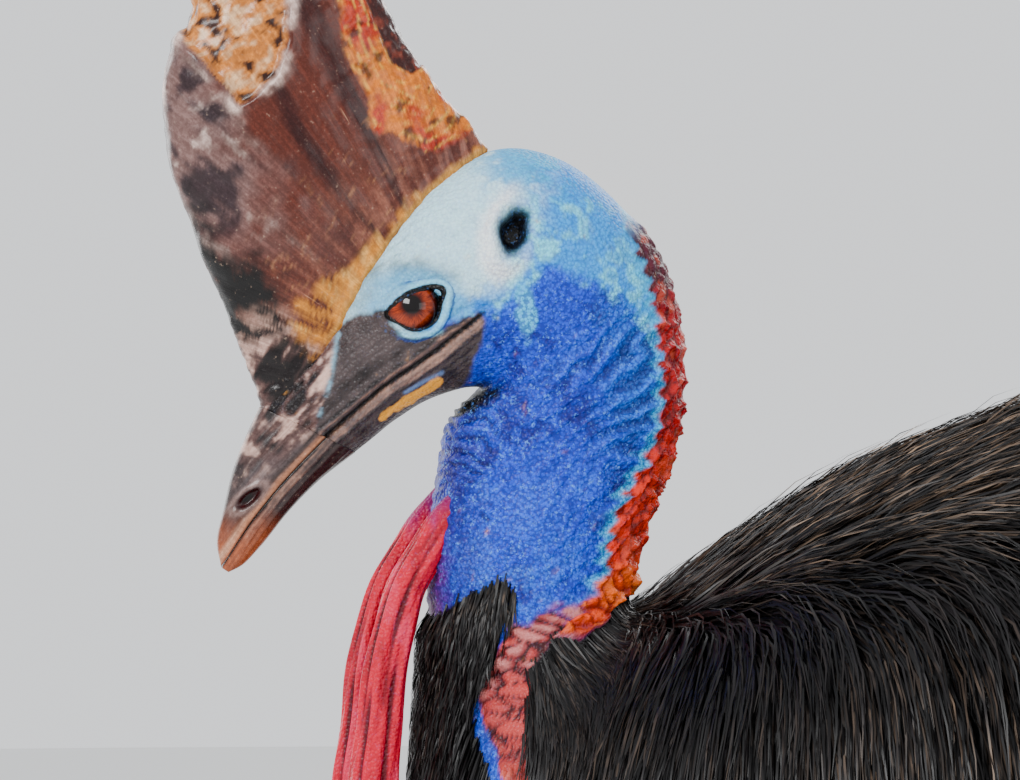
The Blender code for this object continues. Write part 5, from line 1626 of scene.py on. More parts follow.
@dataclass
class Eye:
    """An eyeball with its cornea, and the lids and bare ring of skin round it."""

    skin: Skin
    turns: int = 144
    # Outwards from the opening's edge: distance along the skin and height over it, in metres.
    profile: tuple = (
        (-0.0012, -0.0016), (-0.0002, 0.0003), (0.0008, 0.0011), (0.0018, 0.0009), (0.0032, 0.0015),
        (0.0046, 0.0011), (0.0058, 0.0002), (0.0074, -0.0004), (0.0095, -0.0016),
    )
    steps: int = 30

    def build(self, side: int) -> None:
        """Makes one eye and its lids. Side is 1 on the left and -1 on the right."""
        tag = "left" if side > 0 else "right"
        self.ball(side, tag)
        self.lids(side, tag)

    def ball(self, side: int, tag: str) -> None:
        """A sphere about the X axis, with the cornea bulging from its front.

        Args:
            side: 1 on the left, -1 on the right.
            tag: The side's name.
        """
        face = self.skin.face
        polar = np.linspace(0, math.pi, 64)[:, None]
        turn = full_turn(96)[None]
        out = face.eye_radius * np.sin(polar)
        bulge = 0.0010 * bell(out, 0.0075) * (polar < math.pi / 2)
        x = face.eye_x + face.eye_radius * np.cos(polar) + bulge
        y, z = out * np.cos(turn), out * np.sin(turn)
        points = np.stack(np.broadcast_arrays(x * side, face.eye[0] + y, face.eye[1] + z), axis=-1)
        aside, up = y - face.gaze[0], z - face.gaze[1]
        reach = np.where(polar < math.pi / 2, np.hypot(aside, up), 0.02)
        shape = Shape(f"eyeball_{tag}")
        shape.grid(points, radius=reach, spoke=np.abs(np.arctan2(up, aside)))
        dress(shape.build(), EyeFinish().material(), Slot.EYE, f"eye_{tag}")

    def lids(self, side: int, tag: str) -> None:
        """A collar whose profile leaves the eyeball, rolls over the lid's edge and the pale ring,
        and dips under the skin.

        Args:
            side: 1 on the left, -1 on the right.
            tag: The side's name.
        """
        face = self.skin.face
        share = np.arange(self.turns) / self.turns
        rim = closed_curve(face.opening, share)
        way = unit(np.roll(rim, -1, axis=0) - np.roll(rim, 1, axis=0))
        away = np.stack((way[:, 1], -way[:, 0]), axis=-1)
        profile = monotone(np.array(self.profile), np.linspace(0, len(self.profile) - 1, self.steps))
        reach = np.broadcast_to(profile[:, :1], (self.steps, self.turns))
        flat = rim[None] + away[None] * reach[..., None] + np.array(face.eye)
        radius = np.linalg.norm(flat - np.array(face.eye), axis=-1)
        ball = face.eye_x + np.sqrt(np.maximum(face.eye_radius**2 - radius**2, 1e-8))
        skin = self.skin.body.side_at(flat.reshape(-1, 2)).reshape(radius.shape)
        settled = smooth(0.0012, 0.0065, reach)
        out = np.maximum(ball, skin) * (1 - settled) + skin * settled
        crinkle = layered(np.concatenate((out.reshape(-1, 1), flat.reshape(-1, 2)), axis=1), 0.0025, 101)
        x = out + profile[:, 1:] + 0.0002 * crinkle.reshape(radius.shape)
        x = np.where((reach > 0.0004) & (radius < face.eye_radius), np.maximum(x, ball + 0.0006), x)
        points = np.concatenate((x[..., None] * side, flat), axis=-1)
        colour = self.paint(points.reshape(-1, 3), reach.ravel(), np.tile(share, self.steps))
        shape = Shape(f"eyelids_{tag}")
        bare = np.full(radius.shape, 0.25)
        shape.grid(points, ends=(False, False), paint=colour.reshape(points.shape), bare=bare)
        piece = shape.build()
        self.face_outward(piece, side)
        dress(piece, SkinFinish(0.36).material(), Slot.HEAD)

    @staticmethod
    def face_outward(piece: bpy.types.Object, side: int) -> None:
        """Turns the collar's faces away from the head."""
        form = bmesh.new()
        form.from_mesh(piece.data)
        total = sum(face.normal.x * face.calc_area() for face in form.faces)
        if total * side < 0:
            bmesh.ops.reverse_faces(form, faces=form.faces[:])
        form.to_mesh(piece.data)
        form.free()

    def paint(self, points: Array, reach: Array, share: Array) -> Array:
        """The skin's own colours, with a black rim on the lid's edge that widens along the upper lid as
        painted shade under it, then the pale ring behind and over the eye and a deep blue line round that.

        Args:
            points: Places on the lids.
            reach: Their distances from the opening's edge.
            share: How far round it they lie, from 0 to 1.
        Returns:
            The colours, scene-linear.
        """
        mirrored = points * np.array((np.sign(points[0, 0]), 1.0, 1.0))
        colour = self.skin.paint(mirrored, np.full(len(points), 4.5))
        turn = share * 2 * math.pi
        behind = smooth(-0.55, -0.10, np.cos(turn))
        fine = layered(mirrored, 0.003, 100)
        ring = bell(reach - 0.0030, 0.0017)
        colour = blend(colour, (156, 222, 244), ring * behind * (0.85 + 0.3 * fine))
        line = bell(reach - 0.0056, 0.0008) * behind
        colour = blend(colour, (10, 66, 150), line * 0.75)
        # The lid's edge is black; along the upper lid it widens as painted shade under the lid.
        black = 0.0009 + 0.0011 * smooth(0.2, 0.8, np.sin(turn))
        return blend(colour, (12, 8, 10), 1 - smooth(black, black + 0.0005, reach + fine * 0.0002))


@dataclass
class Wattles:
    """The two folded lobes of red skin under the throat."""

    # Along each lobe: y, z, half width along y and half thickness.
    rows: tuple = (
        (-0.398, 0.996, 0.0045, 0.0036),
        (-0.413, 0.972, 0.0080, 0.0052),
        (-0.426, 0.948, 0.0088, 0.0062),
        (-0.434, 0.918, 0.0095, 0.0067),
        (-0.438, 0.885, 0.0100, 0.0072),
        (-0.441, 0.850, 0.0112, 0.0082),
        (-0.441, 0.825, 0.0107, 0.0082),
        (-0.440, 0.811, 0.0045, 0.0042),
    )
    out: float = 0.0125
    right_shift: float = -0.004
    folds: int = 5
    sides: int = 110

    def build(self) -> None:
        """Makes both wattles."""
        for side, tag, shift in ((1, "left", 0.0), (-1, "right", self.right_shift)):
            table = monotone(np.array(self.rows), np.linspace(0, len(self.rows) - 1, 190))
            out = np.full(len(table), self.out * side)
            centres = np.column_stack((out, table[:, 0] + shift, table[:, 1]))
            turn = full_turn(self.sides)[None]
            share = np.linspace(0, 1, len(table))[:, None]
            fade = np.sin(math.pi * np.clip(share * 1.05, 0, 1)) ** 0.5
            flutes = 0.10 * np.cos(self.folds * turn + 5 * share)
            swell = 1 + fade * (flutes + 0.05 * np.cos(11 * turn - 9 * share + side))
            swell = swell * (1 + 0.03 * np.sin(share * 34 + 2 * np.cos(turn)))
            points = tube(centres, table[:, 2], table[:, 3], self.sides, swell)
            flat = points.reshape(-1, 3)
            crease = np.broadcast_to(swell, points.shape[:2]).ravel()
            shape = Shape(f"wattle_{tag}_skin")
            paint, bare = self.paint(flat, crease).reshape(points.shape), np.full(points.shape[:2], 0.12)
            shape.grid(points, paint=paint, bare=bare)
            dress(shape.build(), SkinFinish().material(), Slot.WATTLE, f"wattle_{tag}")

    @staticmethod
    def paint(flat: Array, crease: Array) -> Array:
        """Pink-red skin, with painted shade in its folds, and purple at the root.

        Args:
            flat: Places on the skin.
            crease: How far each one swells out, below 1 in a fold.
        Returns:
            The colours, scene-linear.
        """
        soft = layered(flat * np.array((1.0, 1.0, 0.3)), 0.006, 110)
        colour = flood(flat, (216, 4, 70))
        colour = blend(colour, (238, 84, 124), smooth(0.2, 0.9, soft) * 0.5)
        colour = blend(colour, (150, 8, 44), smooth(0.1, 0.9, -soft) * 0.5)
        # Painted shade where the skin folds in.
        colour = blend(colour, (58, 4, 24), smooth(0.985, 0.88, crease) * 0.85)
        return blend(colour, (96, 40, 130), smooth(0.975, 0.990, flat[:, 2] + soft * 0.006) * 0.7)


@dataclass
class Legs:
    """The legs: thigh skin under the coat, shin, hock, scaled tarsus, toes and claws."""

    step: float = 0.045
    knee: tuple = (0.100, -0.060, 0.690)
    hock: tuple = (0.086, 0.085, 0.385)
    ankle: tuple = (0.086, 0.040, 0.058)
    # Share of the way from knee to hock, half depth, half width and coat.
    thigh: tuple = (
        (0.00, 0.100, 0.074, 0.016), (0.25, 0.092, 0.070, 0.016), (0.50, 0.072, 0.056, 0.014),
        (0.72, 0.048, 0.040, 0.010), (0.84, 0.032, 0.029, 0.005),
    )
    # Share of the way from hock to ankle, half depth and half width.
    tarsus: tuple = (
        (0.00, 0.030, 0.025), (0.08, 0.028, 0.024), (0.18, 0.0215, 0.018), (0.50, 0.0190, 0.0155),
        (0.80, 0.0205, 0.0170), (0.93, 0.0255, 0.0230), (1.00, 0.0262, 0.0245), (1.07, 0.0262, 0.0245),
    )
    # Name, turn outwards, length, thickness at root and tip, claw length and rise.
    toes: tuple = (
        ("inner", math.radians(-24), 0.085, 0.021, 0.0150, 0.105, 0.012),
        ("middle", math.radians(2), 0.150, 0.023, 0.0135, 0.036, 0.0),
        ("outer", math.radians(30), 0.105, 0.020, 0.0125, 0.030, 0.0),
    )
    heel: tuple = (0.0265, 0.033, 0.0275)
    heel_height: float = 0.028
    plate: float = 0.0085
    pad: float = 0.003
    claw_tip: float = 0.0012
    voxel: float = 0.0027

    def joints(self, side: int) -> tuple[Array, Array, Array]:
        """The knee, hock and ankle on one side, the right leg standing further back.

        Args:
            side: 1 on the left, -1 on the right.
        Returns:
            The three places.
        """
        shift = np.array((0.0, -self.step if side > 0 else self.step, 0.0))
        places = ((self.knee, 0.3), (self.hock, 0.7), (self.ankle, 1.0))
        return tuple((np.array(place) + shift * share) * np.array((side, 1, 1)) for place, share in places)

    def thigh_surface(self, side: int) -> Callable[[Array, Array, Array | float], Array]:
        """The thigh as a function of the place along its rows, the angle and the height.

        Args:
            side: 1 on the left, -1 on the right.
        Returns:
            A function of places, angles and heights that gives points.
        """
        knee, hock, _ = self.joints(side)
        way = unit(hock - knee)
        sideways = unit(np.array((1.0, 0.0, 0.0)) - way[0] * way)
        front = np.cross(sideways, way)

        def surface(place: Array, angle: Array, height: Array | float = 0.0) -> Array:
            """Points on the thigh."""
            place, angle, height = (np.ravel(v) for v in np.broadcast_arrays(place, angle, height))
            share, depth, width, coat = monotone(np.array(self.thigh), np.clip(place, 0, 4)).T
            inset = coat * (1 - height)
            along, across = signed_power(np.cos(angle), 2 / 2.1), signed_power(np.sin(angle), 2 / 2.1)
            centre = knee + np.outer(share + np.maximum(place - 4, 0) * 0.12, hock - knee)
            fore = np.outer(along * (depth - inset), front)
            return centre + fore + np.outer(across * (width - inset), sideways)

        return surface

    def build(self, side: int) -> None:
        """Makes one leg and its claws."""
        tag = "left" if side > 0 else "right"
        knee, hock, ankle = self.joints(side)
        shape = Shape(f"leg_{tag}")
        shape.grid(self.shank(knee, hock, ankle))
        shape.grid(ball(24, 36, self.heel) + np.array((ankle[0], ankle[1], self.heel_height)))
        for toe in self.toes:
            shape.grid(self.toe(side, ankle, toe))
        piece = shape.build()
        self.remesh(piece)
        dress(piece, ScaleFinish().material(), Slot.LEG, f"thigh_{tag}", f"shank_{tag}", f"foot_{tag}")
        for toe in self.toes:
            self.claw(side, ankle, toe, tag)

    def shank(self, knee: Array, hock: Array, ankle: Array) -> Array:
        """Rings from the thigh to the foot. Down the front of the tarsus each plate swells
        towards its lower edge and drops back there, a saw-tooth of its length.

        Args:
            knee: The knee's place.
            hock: The hock's place.
            ankle: The ankle's place.
        Returns:
            Points of shape rows, columns, 3.
        """
        rows = [(*(knee + (hock - knee) * s), d - c, w - c) for s, d, w, c in self.thigh]
        rows += [(*(knee + (hock - knee) * 0.92), 0.0245, 0.0205)]
        rows += [(*(hock + (ankle - hock) * s), d * 0.97, w * 0.97) for s, d, w in self.tarsus]
        table = monotone(np.array(rows), np.linspace(0, len(rows) - 1, 450))
        turn = full_turn(72)[None]
        down = np.clip((hock[2] - table[:, 2:3]) / (hock[2] - ankle[2]), 0, 1)
        phase = np.mod(down * 26, 1.0)
        front = smooth(0.35, 0.75, -np.cos(turn)) * smooth(0.02, 0.10, down)
        swell = 1 + front * (0.07 * phase - 0.02)
        return tube(table[:, :3], table[:, 3], table[:, 4], 72, swell)

    def toe_line(self, side: int, ankle: Array, toe: tuple, count: int) -> tuple[Array, Array, Array]:
        """The middle line of a toe, its half thickness and its direction.

        Args:
            side: 1 on the left, -1 on the right.
            ankle: The ankle's place.
            toe: The toe's row of sizes.
            count: Points along it.
        Returns:
            Its points, their half thicknesses and a unit vector.
        """
        _, turn, length, root, tip, _, _ = toe
        way = np.array((side * math.sin(turn), -math.cos(turn), 0.0))
        share = np.linspace(0, 1, count)
        thick = (root + (tip - root) * share) * (1 + 0.10 * np.cos(share * 6 * math.pi))
        height = thick - self.pad + (0.014 + root * 0.4) * (1 - share) ** 3
        centres = np.array((ankle[0], ankle[1], 0.0)) + way * (length * share)[:, None]
        centres[:, 2] = height
        return centres, thick, way

    def toe(self, side: int, ankle: Array, toe: tuple) -> Array:
        """Rings of a toe, with plates across its top and a flat sole.

        Args:
            side: 1 on the left, -1 on the right.
            ankle: The ankle's place.
            toe: The toe's row of sizes.
        Returns:
            Points of shape rows, columns, 3.
        """
        centres, thick, _ = self.toe_line(side, ankle, toe, 120)
        share = np.linspace(0, 1, 120)[:, None]
        points = tube(centres, thick * 0.98, thick * 0.93, 40)
        up = smooth(0.2, 0.8, (points[..., 2] - centres[:, None, 2]) / thick[:, None])
        phase = np.mod(share * toe[2] / self.plate, 1.0)
        points[..., 2] += up * (0.0014 * phase - 0.0004)
        points[..., 2] = np.maximum(points[..., 2], 0.0006)
        return points

    def remesh(self, piece: bpy.types.Object) -> None:
        """Melts the overlapping forms into one skin and evens it out."""
        melt = piece.modifiers.new("melt", "REMESH")
        melt.mode, melt.voxel_size, melt.use_smooth_shade = "VOXEL", self.voxel, True
        even = piece.modifiers.new("even", "SMOOTH")
        even.factor, even.iterations = 0.4, 2
        graph = bpy.context.evaluated_depsgraph_get()
        mesh = bpy.data.meshes.new_from_object(piece.evaluated_get(graph))
        piece.modifiers.clear()
        piece.data = mesh
        places = np.empty(len(mesh.vertices) * 3, np.float32)
        mesh.vertices.foreach_get("co", places)
        places = places.reshape(-1, 3)
        places[:, 2] = np.maximum(places[:, 2], 0.0002)
        mesh.vertices.foreach_set("co", places.ravel())
        mesh.shade_smooth()

    def claw(self, side: int, ankle: Array, toe: tuple, tag: str) -> None:
        """A claw that leaves its toe and tapers, deeper than wide and keeled above.

        Args:
            side: 1 on the left, -1 on the right.
            ankle: The ankle's place.
            toe: The toe's row of sizes.
            tag: The side's name.
        """
        name, _, _, _, _, length, lift = toe
        centres, thick, way = self.toe_line(side, ankle, toe, 3)
        tip, share = centres[-1], np.linspace(0, 1, 70)
        back = tip - way * 0.009
        size = thick[-1] * 0.78 * (1 - share) ** 0.8 + self.claw_tip
        drop = (tip[2] - 0.0005 - size) if lift == 0 else tip[2] * 0.35
        line = back + way * ((length + 0.009) * share)[:, None]
        line[:, 2] = tip[2] - drop * share**1.5 + lift * np.sin(share * math.pi / 2)
        points = tube(line, size, size * 0.8, 30)
        points[..., 2] = np.maximum(points[..., 2], 0.0006)
        flat = points.reshape(-1, 3)
        along = np.broadcast_to(share[:, None], points.shape[:2]).ravel()
        soft = layered(flat, 0.006, 120)
        colour = blend(flood(flat, (104, 96, 84)), (44, 40, 38), smooth(0.1, 0.75, along + soft * 0.1))
        shape = Shape(f"claw_{name}_{tag}_horn")
        paint = colour.reshape(points.shape)
        shape.grid(points, paint=paint, growth=points[..., 0], reach=points[..., 1])
        dress(shape.build(), HornFinish("claw_horn").material(), Slot.CLAW, f"claw_{name}_{tag}")


@dataclass
class Wing:
    """The stub of the wing and its bare quills, which lie over the coat."""

    body: Body
    place: float = 22.9
    angle: float = math.radians(74)
    stub: tuple = (0.013, 0.034, 0.020)
    quills: int = 5
    length: float = 0.230
    radius: float = 0.0030
    over: float = 0.006

    def build(self, side: int) -> None:
        """Makes one wing."""
        tag = "left" if side > 0 else "right"
        shape = Shape(f"wing_{tag}_quills")
        root = self.body.surface(np.array([self.place]), np.array([side * self.angle]), 0.15)[0]
        points = ball(18, 28, self.stub) + root
        tint = np.tile(linear(40, 34, 34), (*points.shape[:2], 1))
        shape.grid(points, paint=tint, growth=points[..., 0], reach=points[..., 2])
        for i in range(self.quills):
            share = i / (self.quills - 1)
            start = (self.place - 0.15 + 0.38 * share, side * (self.angle + math.radians(3 * (i % 2))))
            length = self.length * (1 - 0.12 * abs(share - 0.4))
            roots = (np.array([value]) for value in (*start, length))
            path = walk(self.body.surface, self.lie, *roots, 16)
            place, angle = path[0][:, 0], path[1][:, 0]
            inner, outer = self.body.surface(place, angle, 0.20), self.body.surface(place, angle, 1.0)
            outer = outer + unit(outer - inner) * self.over
            t = np.linspace(0, 1, len(place))
            rise = np.minimum(t * 3.2, 1.0)[:, None]
            line = inner * (1 - rise) + outer * rise
            even = np.linspace(0, len(line) - 1, 40)
            line = np.column_stack([np.interp(even, np.arange(len(line)), line[:, k]) for k in range(3)])
            size = self.radius * (1 - 0.7 * np.linspace(0, 1, 40))
            points = tube(line, size, size, 12)
            tint = np.tile(linear(34, 30, 30), (*points.shape[:2], 1))
            shape.grid(points, paint=tint, growth=points[..., 0], reach=points[..., 2])
        dress(shape.build(), HornFinish("quill_horn").material(), Slot.QUILL, f"wing_{tag}")

    @staticmethod
    def lie(place: Array, angle: Array) -> Array:
        """The quills hang down and back."""
        return np.tile((0.0, 0.42, -1.0), (len(place), 1))


def walk(
    surface: Callable, lie: Callable, place: Array, angle: Array, length: Array, steps: int
) -> tuple[Array, Array]:
    """Walks from many roots at once along the lie of the coat.

    Args:
        surface: Points of a body form for places, angles and a height.
        lie: The wanted direction at places and angles.
        place: Roots along the form.
        angle: Roots round it.
        length: How far each one goes.
        steps: In how many steps.
    Returns:
        Places and angles of shape steps + 1, roots. Each step solves the two slopes of the
        surface for the direction's share in its plane.
    """
    nudge = 1e-3
    places, turns = [place], [angle]
    for _ in range(steps):
        here = surface(place, angle, 1.0)
        along = (surface(place + nudge, angle, 1.0) - here) / nudge
        around = (surface(place, angle + nudge, 1.0) - here) / nudge
        way = lie(place, angle)
        aa, bb, ab = (along * along).sum(1), (around * around).sum(1), (along * around).sum(1)
        wa, wb = (way * along).sum(1), (way * around).sum(1)
        det = np.maximum(aa * bb - ab * ab, 1e-12)
        du, dv = (wa * bb - wb * ab) / det, (wb * aa - wa * ab) / det
        moved = du[:, None] * along + dv[:, None] * around
        scale = length / steps / np.maximum(np.linalg.norm(moved, axis=1), 1e-6)
        place, angle = place + du * scale, angle + dv * scale
        places.append(place)
        turns.append(angle)
    return np.array(places), np.array(turns)


@dataclass(frozen=True)
class Style:
    """How the blades of one stretch look: sizes in metres, shares from 0 to 1."""

    width: float
    each: int
    clump: float
    gather: float = 0.45
    stray: float = 0.0025
    stand: float = 0.0030
    lift: float = 1.6


@dataclass(frozen=True)
class Region:
    """One stretch of the coat: where it lies along the body, how many blades it has on one side
    and how long they are at set places."""

    name: str
    low: float
    high: float
    blades: int
    lengths: tuple
    style: Style


FINE = Style(0.0010, 7, 0.0040, stray=0.0016, stand=0.0016)
BREAST = Style(0.0013, 9, 0.0052, stray=0.0026, stand=0.0026)
FLANK = Style(0.0021, 10, 0.0080, stray=0.0042, stand=0.0036)
THIGH = Style(0.0017, 8, 0.0060, stray=0.0030, stand=0.0030)
LENGTH_PLACES = (15.5, 17.5, 19.5, 21.5, 24.0, 28.0, 30.0)
REGIONS = (
    Region("neck", 15.0, 19.2, 11800, (0.016, 0.026, 0.050, 0.09, 0.10, 0.10, 0.10), FINE),
    Region("breast", 19.0, 21.2, 20000, (0.03, 0.04, 0.060, 0.095, 0.12, 0.12, 0.10), BREAST),
    Region("shoulder", 21.0, 23.2, 18500, (0.03, 0.04, 0.060, 0.095, 0.13, 0.12, 0.10), BREAST),
    Region("side", 23.0, 26.2, 15500, (0.03, 0.05, 0.10, 0.12, 0.160, 0.17, 0.10), FLANK),
    Region("rump", 26.0, 29.95, 9800, (0.03, 0.05, 0.10, 0.14, 0.17, 0.15, 0.085), FLANK),
)


@dataclass
class Coat:
    """Hair-like feathers as thin, tapering blades that follow the lie of the coat in clumps."""

    body: Body
    face: Face
    rings: int = 5
    steps: int = 8
    seed: int = 11
    tries: int = 120000
    patch: float = 0.003
    thigh_blades: int = 4800

    def lie(self, place: Array, angle: Array) -> Array:
        """Down the front of the neck, back along the spine and down over the flanks.

        Args:
            place: Along the body.
            angle: Round it.
        Returns:
            A direction for each place.
        """
        t = place - self.body.neck_end
        flank = smooth(0.05, 0.85, np.abs(np.sin(angle / 2)) * math.sqrt(2))
        back = (1.0 - 0.92 * flank + 0.25 * smooth(5.0, 9.0, t)) * np.clip(t / 2.5, 0.25, 1.0)
        trunk = np.stack((np.zeros_like(t), back, -0.08 - 0.92 * flank), axis=-1)
        ahead = smooth(-0.3, 0.5, -np.cos(angle))[:, None]
        neck = np.array((0.0, -0.12, -1.0)) * ahead + np.array((0.0, 0.42, -0.91)) * (1 - ahead)
        on_neck = (1 - smooth(-0.8, 1.2, t))[:, None]
        return neck * on_neck + trunk * (1 - on_neck)

    def grow(
        self, name: str, surface: Callable, lie: Callable, roots: tuple, style: Style, salt: int
    ) -> None:
        """Makes one piece of coat.

        Args:
            name: The piece's name.
            surface: The form that it grows on.
            lie: The direction of the coat there.
            roots: Places, angles and lengths of the clumps.
            style: Width, count and layering of the blades.
            salt: Another number gives another draw.

        A blade is its clump's path, shifted by an offset that shrinks to the tip, and lifted off
        the surface along its normal by its layer's height.
        """
        draw = np.random.default_rng(self.seed + salt)
        place, angle, length = roots
        places, turns = walk(surface, lie, place, angle, length * 1.15, self.steps)
        total = len(place) * style.each
        index = np.repeat(np.arange(len(place)), style.each)
        here = surface(place, angle, 1.0)
        scale_p = np.linalg.norm(surface(place + 0.01, angle, 1.0) - here, axis=1) / 0.01
        scale_a = np.linalg.norm(surface(place, angle + 0.01, 1.0) - here, axis=1) / 0.01
        scale_a = np.maximum(scale_a, 0.004)
        offset = draw.normal(0, 0.45, (total, 2)) * style.clump
        du, dv = offset[:, 0] / scale_p[index], offset[:, 1] / scale_a[index]
        reach = np.clip(draw.uniform(0.55, 1.0, total) * (1 + 0.1 * draw.normal(size=total)), 0.3, 1.0)
        s = np.linspace(0, 1, self.rings)[:, None] * reach[None] * self.steps
        i = np.minimum(s.astype(int), self.steps - 1)
        f = s - i
        ramp = np.linspace(0, 1, self.rings)[:, None]
        gather = 1 - style.gather * ramp**1.5
        curl = draw.normal(0, style.stray, (2, total))
        u = places[i, index] * (1 - f) + places[i + 1, index] * f
        v = turns[i, index] * (1 - f) + turns[i + 1, index] * f
        u = u + du * gather + curl[0] / scale_p[index] * ramp**2
        v = v + dv * gather + curl[1] / scale_a[index] * ramp**2
        layer = draw.beta(2.0, 1.3, total)
        risen = np.minimum(ramp * style.lift, 1.0) ** 0.8
        height = -0.06 + (layer + 0.06) * risen
        points, normal = self.rest_on(surface, u, v, height)
        ruffled = 1 + 1.5 * (draw.uniform(0, 1, total) > 0.93) * self.crest(here[index])
        stand = (0.15 + 0.85 * layer) * style.stand * ruffled * risen
        points += normal * stand[..., None] + normal * 0.0003
        tangent = unit(np.gradient(points, axis=0))
        roll = draw.normal(0, 0.45, total)[None, :, None]
        across = unit(np.cross(normal, tangent) + normal * roll)
        wide = style.width * draw.uniform(0.7, 1.25, total)
        taper = np.interp(ramp[:, 0], (0, 0.25, 0.7, 1.0), (0.75, 1.0, 0.75, 0.10))
        half = across * (wide[None] * taper[:, None])[..., None] / 2
        strip = np.stack((points - half, points + half), axis=2).transpose(1, 0, 2, 3)
        # How much painted highlight each blade carries.
        highlight_share = self.highlight_share(points[2])
        self.piece(name, strip, (place[index] + du, angle[index] + dv), highlight_share, draw)

    @staticmethod
    def rest_on(surface: Callable, u: Array, v: Array, height: Array) -> tuple[Array, Array]:
        """Points of a form and its unit normals, turned the way that the coat's depth grows.

        Args:
            surface: The form.
            u: Places along it.
            v: Angles round it.
            height: From the skin (0) to the tips (1).
        Returns:
            Points and normals, of the shape of u with a last axis of 3.
        """
        nudge = 2e-3
        shape = (*u.shape, 3)
        points = surface(u, v, height)
        along = surface(u + nudge, v, height) - points
        round_it = surface(u, v + nudge, height) - points
        normal = unit(np.cross(round_it, along))
        deeper = surface(u, v, height + 0.5) - points
        normal = normal * np.sign((normal * deeper).sum())
        return points.reshape(shape), normal.reshape(shape)

    @staticmethod
    def crest(points: Array) -> Array:
        """Where single feathers stand up: 1 along the outline of the back."""
        return smooth(0.93, 0.98, points[:, 2]) * smooth(0.14, 0.05, np.abs(points[:, 0]))

    def highlight_share(self, points: Array) -> Array:
        """Where pale highlights are painted on the feathers: most on the lower flank, some on the back's
        outline.

        Args:
            points: Places on the surface.
        Returns:
            Shares from 0 to 1.
        """
        patch = smooth(-0.3, 0.5, layered(points, 0.05, 120))
        y, z = points[:, 1], points[:, 2]
        flank = smooth(-0.270, -0.200, y) * smooth(0.950, 0.900, z) * smooth(0.72, 0.80, z)
        flank *= 0.35 + 0.65 * smooth(0.05, -0.12, y)
        return flank * (0.35 + 0.65 * patch) + 0.55 * self.crest(points) + 0.10 * patch

    def piece(
        self, name: str, strip: Array, at: tuple[Array, Array], highlight_share: Array, draw: np.random.Generator
    ) -> None:
        """Joins blades into one mesh with its bake patches.

        Args:
            name: The piece's name.
            strip: Their points, of shape count, rings, 2, 3.
            at: The place and angle of each root, which set where its patch lies.
            highlight_share: How much painted highlight each blade carries.
            draw: Gives each blade its tone.
        """
        total = len(strip)
        one = np.arange(self.rings - 1)[:, None] * 2 + np.array((0, 1, 3, 2))
        quads = (one[None] + (np.arange(total) * self.rings * 2)[:, None, None]).reshape(-1, 4)
        shape = Shape(name)
        shape.points.append(strip.reshape(-1, 3))
        shape.quads.append(quads)
        shape.triangles.append(np.zeros((0, 3), int))
        tone = np.repeat(draw.uniform(0, 1, total), self.rings * 2)
        along = np.tile(np.repeat(np.linspace(0, 1, self.rings), 2), total)
        painted_highlight = np.repeat(highlight_share, self.rings * 2)
        shape.values = {"tone": [tone[:, None]], "along": [along[:, None]], "highlight_share": [painted_highlight[:, None]]}
        spot = np.column_stack((np.mod(at[0], 32.0) / 32.0, np.mod(at[1] / (2 * math.pi), 1.0))) * 0.99
        edges, rings = np.array((0.0, self.patch))[None], np.linspace(0, self.patch, self.rings)[:, None]
        patch = np.stack(np.broadcast_arrays(edges, rings), axis=-1)
        shape.places.append((spot[:, None, None] + patch[None]).reshape(-1, 2))
        dress(shape.build(), CoatFinish("plumage_" + name).material(), Slot.COAT)

    def roots(self, region: Region, side: int, salt: int) -> tuple[Array, Array]:
        """Draws the clumps' roots over a stretch of one side, as many for each area everywhere.

        Args:
            region: The stretch.
            side: 1 on the left, -1 on the right.
            salt: Another number gives another draw.
        Returns:
            Places and angles, drawn with the area of the skin as their chance.
        """
        draw = np.random.default_rng(self.seed * 31 + salt)
        place = draw.uniform(region.low, region.high, self.tries)
        angle = draw.uniform(0, math.pi, self.tries) * side
        here = self.body.surface(place, angle)
        du = (self.body.surface(place + 0.01, angle) - here) / 0.01
        dv = (self.body.surface(place, angle + 0.01) - here) / 0.01
        area = np.linalg.norm(np.cross(du, dv), axis=1) * (self.face.feathered(here) > 0)
        count = region.blades // region.style.each
        chosen = draw.choice(self.tries, count, replace=False, p=area / area.sum())
        return place[chosen], angle[chosen]

    def build(self, legs: Legs) -> None:
        """Grows the coat over the neck, the trunk, the tail and the thighs."""
        for side, tag in ((1, "left"), (-1, "right")):
            for number, region in enumerate(REGIONS):
                place, angle = self.roots(region, side, number * 2 + side)
                length = np.interp(place, LENGTH_PLACES, region.lengths)
                length = length * (0.85 + 0.3 * smooth(0.2, 0.9, np.abs(np.sin(angle))))
                name, roots = f"coat_{region.name}_{tag}", (place, angle, length)
                salt = number * 3 + side
                self.grow(name, self.body.surface, self.lie, roots, region.style, salt)
            self.thigh(legs, side, tag)

    def thigh(self, legs: Legs, side: int, tag: str) -> None:
        """Grows the coat of one thigh, which lies along it.

        Args:
            legs: The legs.
            side: 1 on the left, -1 on the right.
            tag: The side's name.
        """
        draw = np.random.default_rng(self.seed + side)
        count = self.thigh_blades // THIGH.each
        place, angle = draw.uniform(1.0, 3.75, count), draw.uniform(0, 2 * math.pi, count)
        length = np.interp(place, (1.0, 3.0, 3.75), (0.085, 0.055, 0.030))
        knee, hock, _ = legs.joints(side)
        way = unit(hock - knee)

        def down(place: Array, angle: Array) -> Array:
            """Along the thigh."""
            return np.tile(way, (len(place), 1))

        name, roots = f"coat_thigh_{tag}", (place, angle, length)
        self.grow(name, legs.thigh_surface(side), down, roots, THIGH, 77 + side)


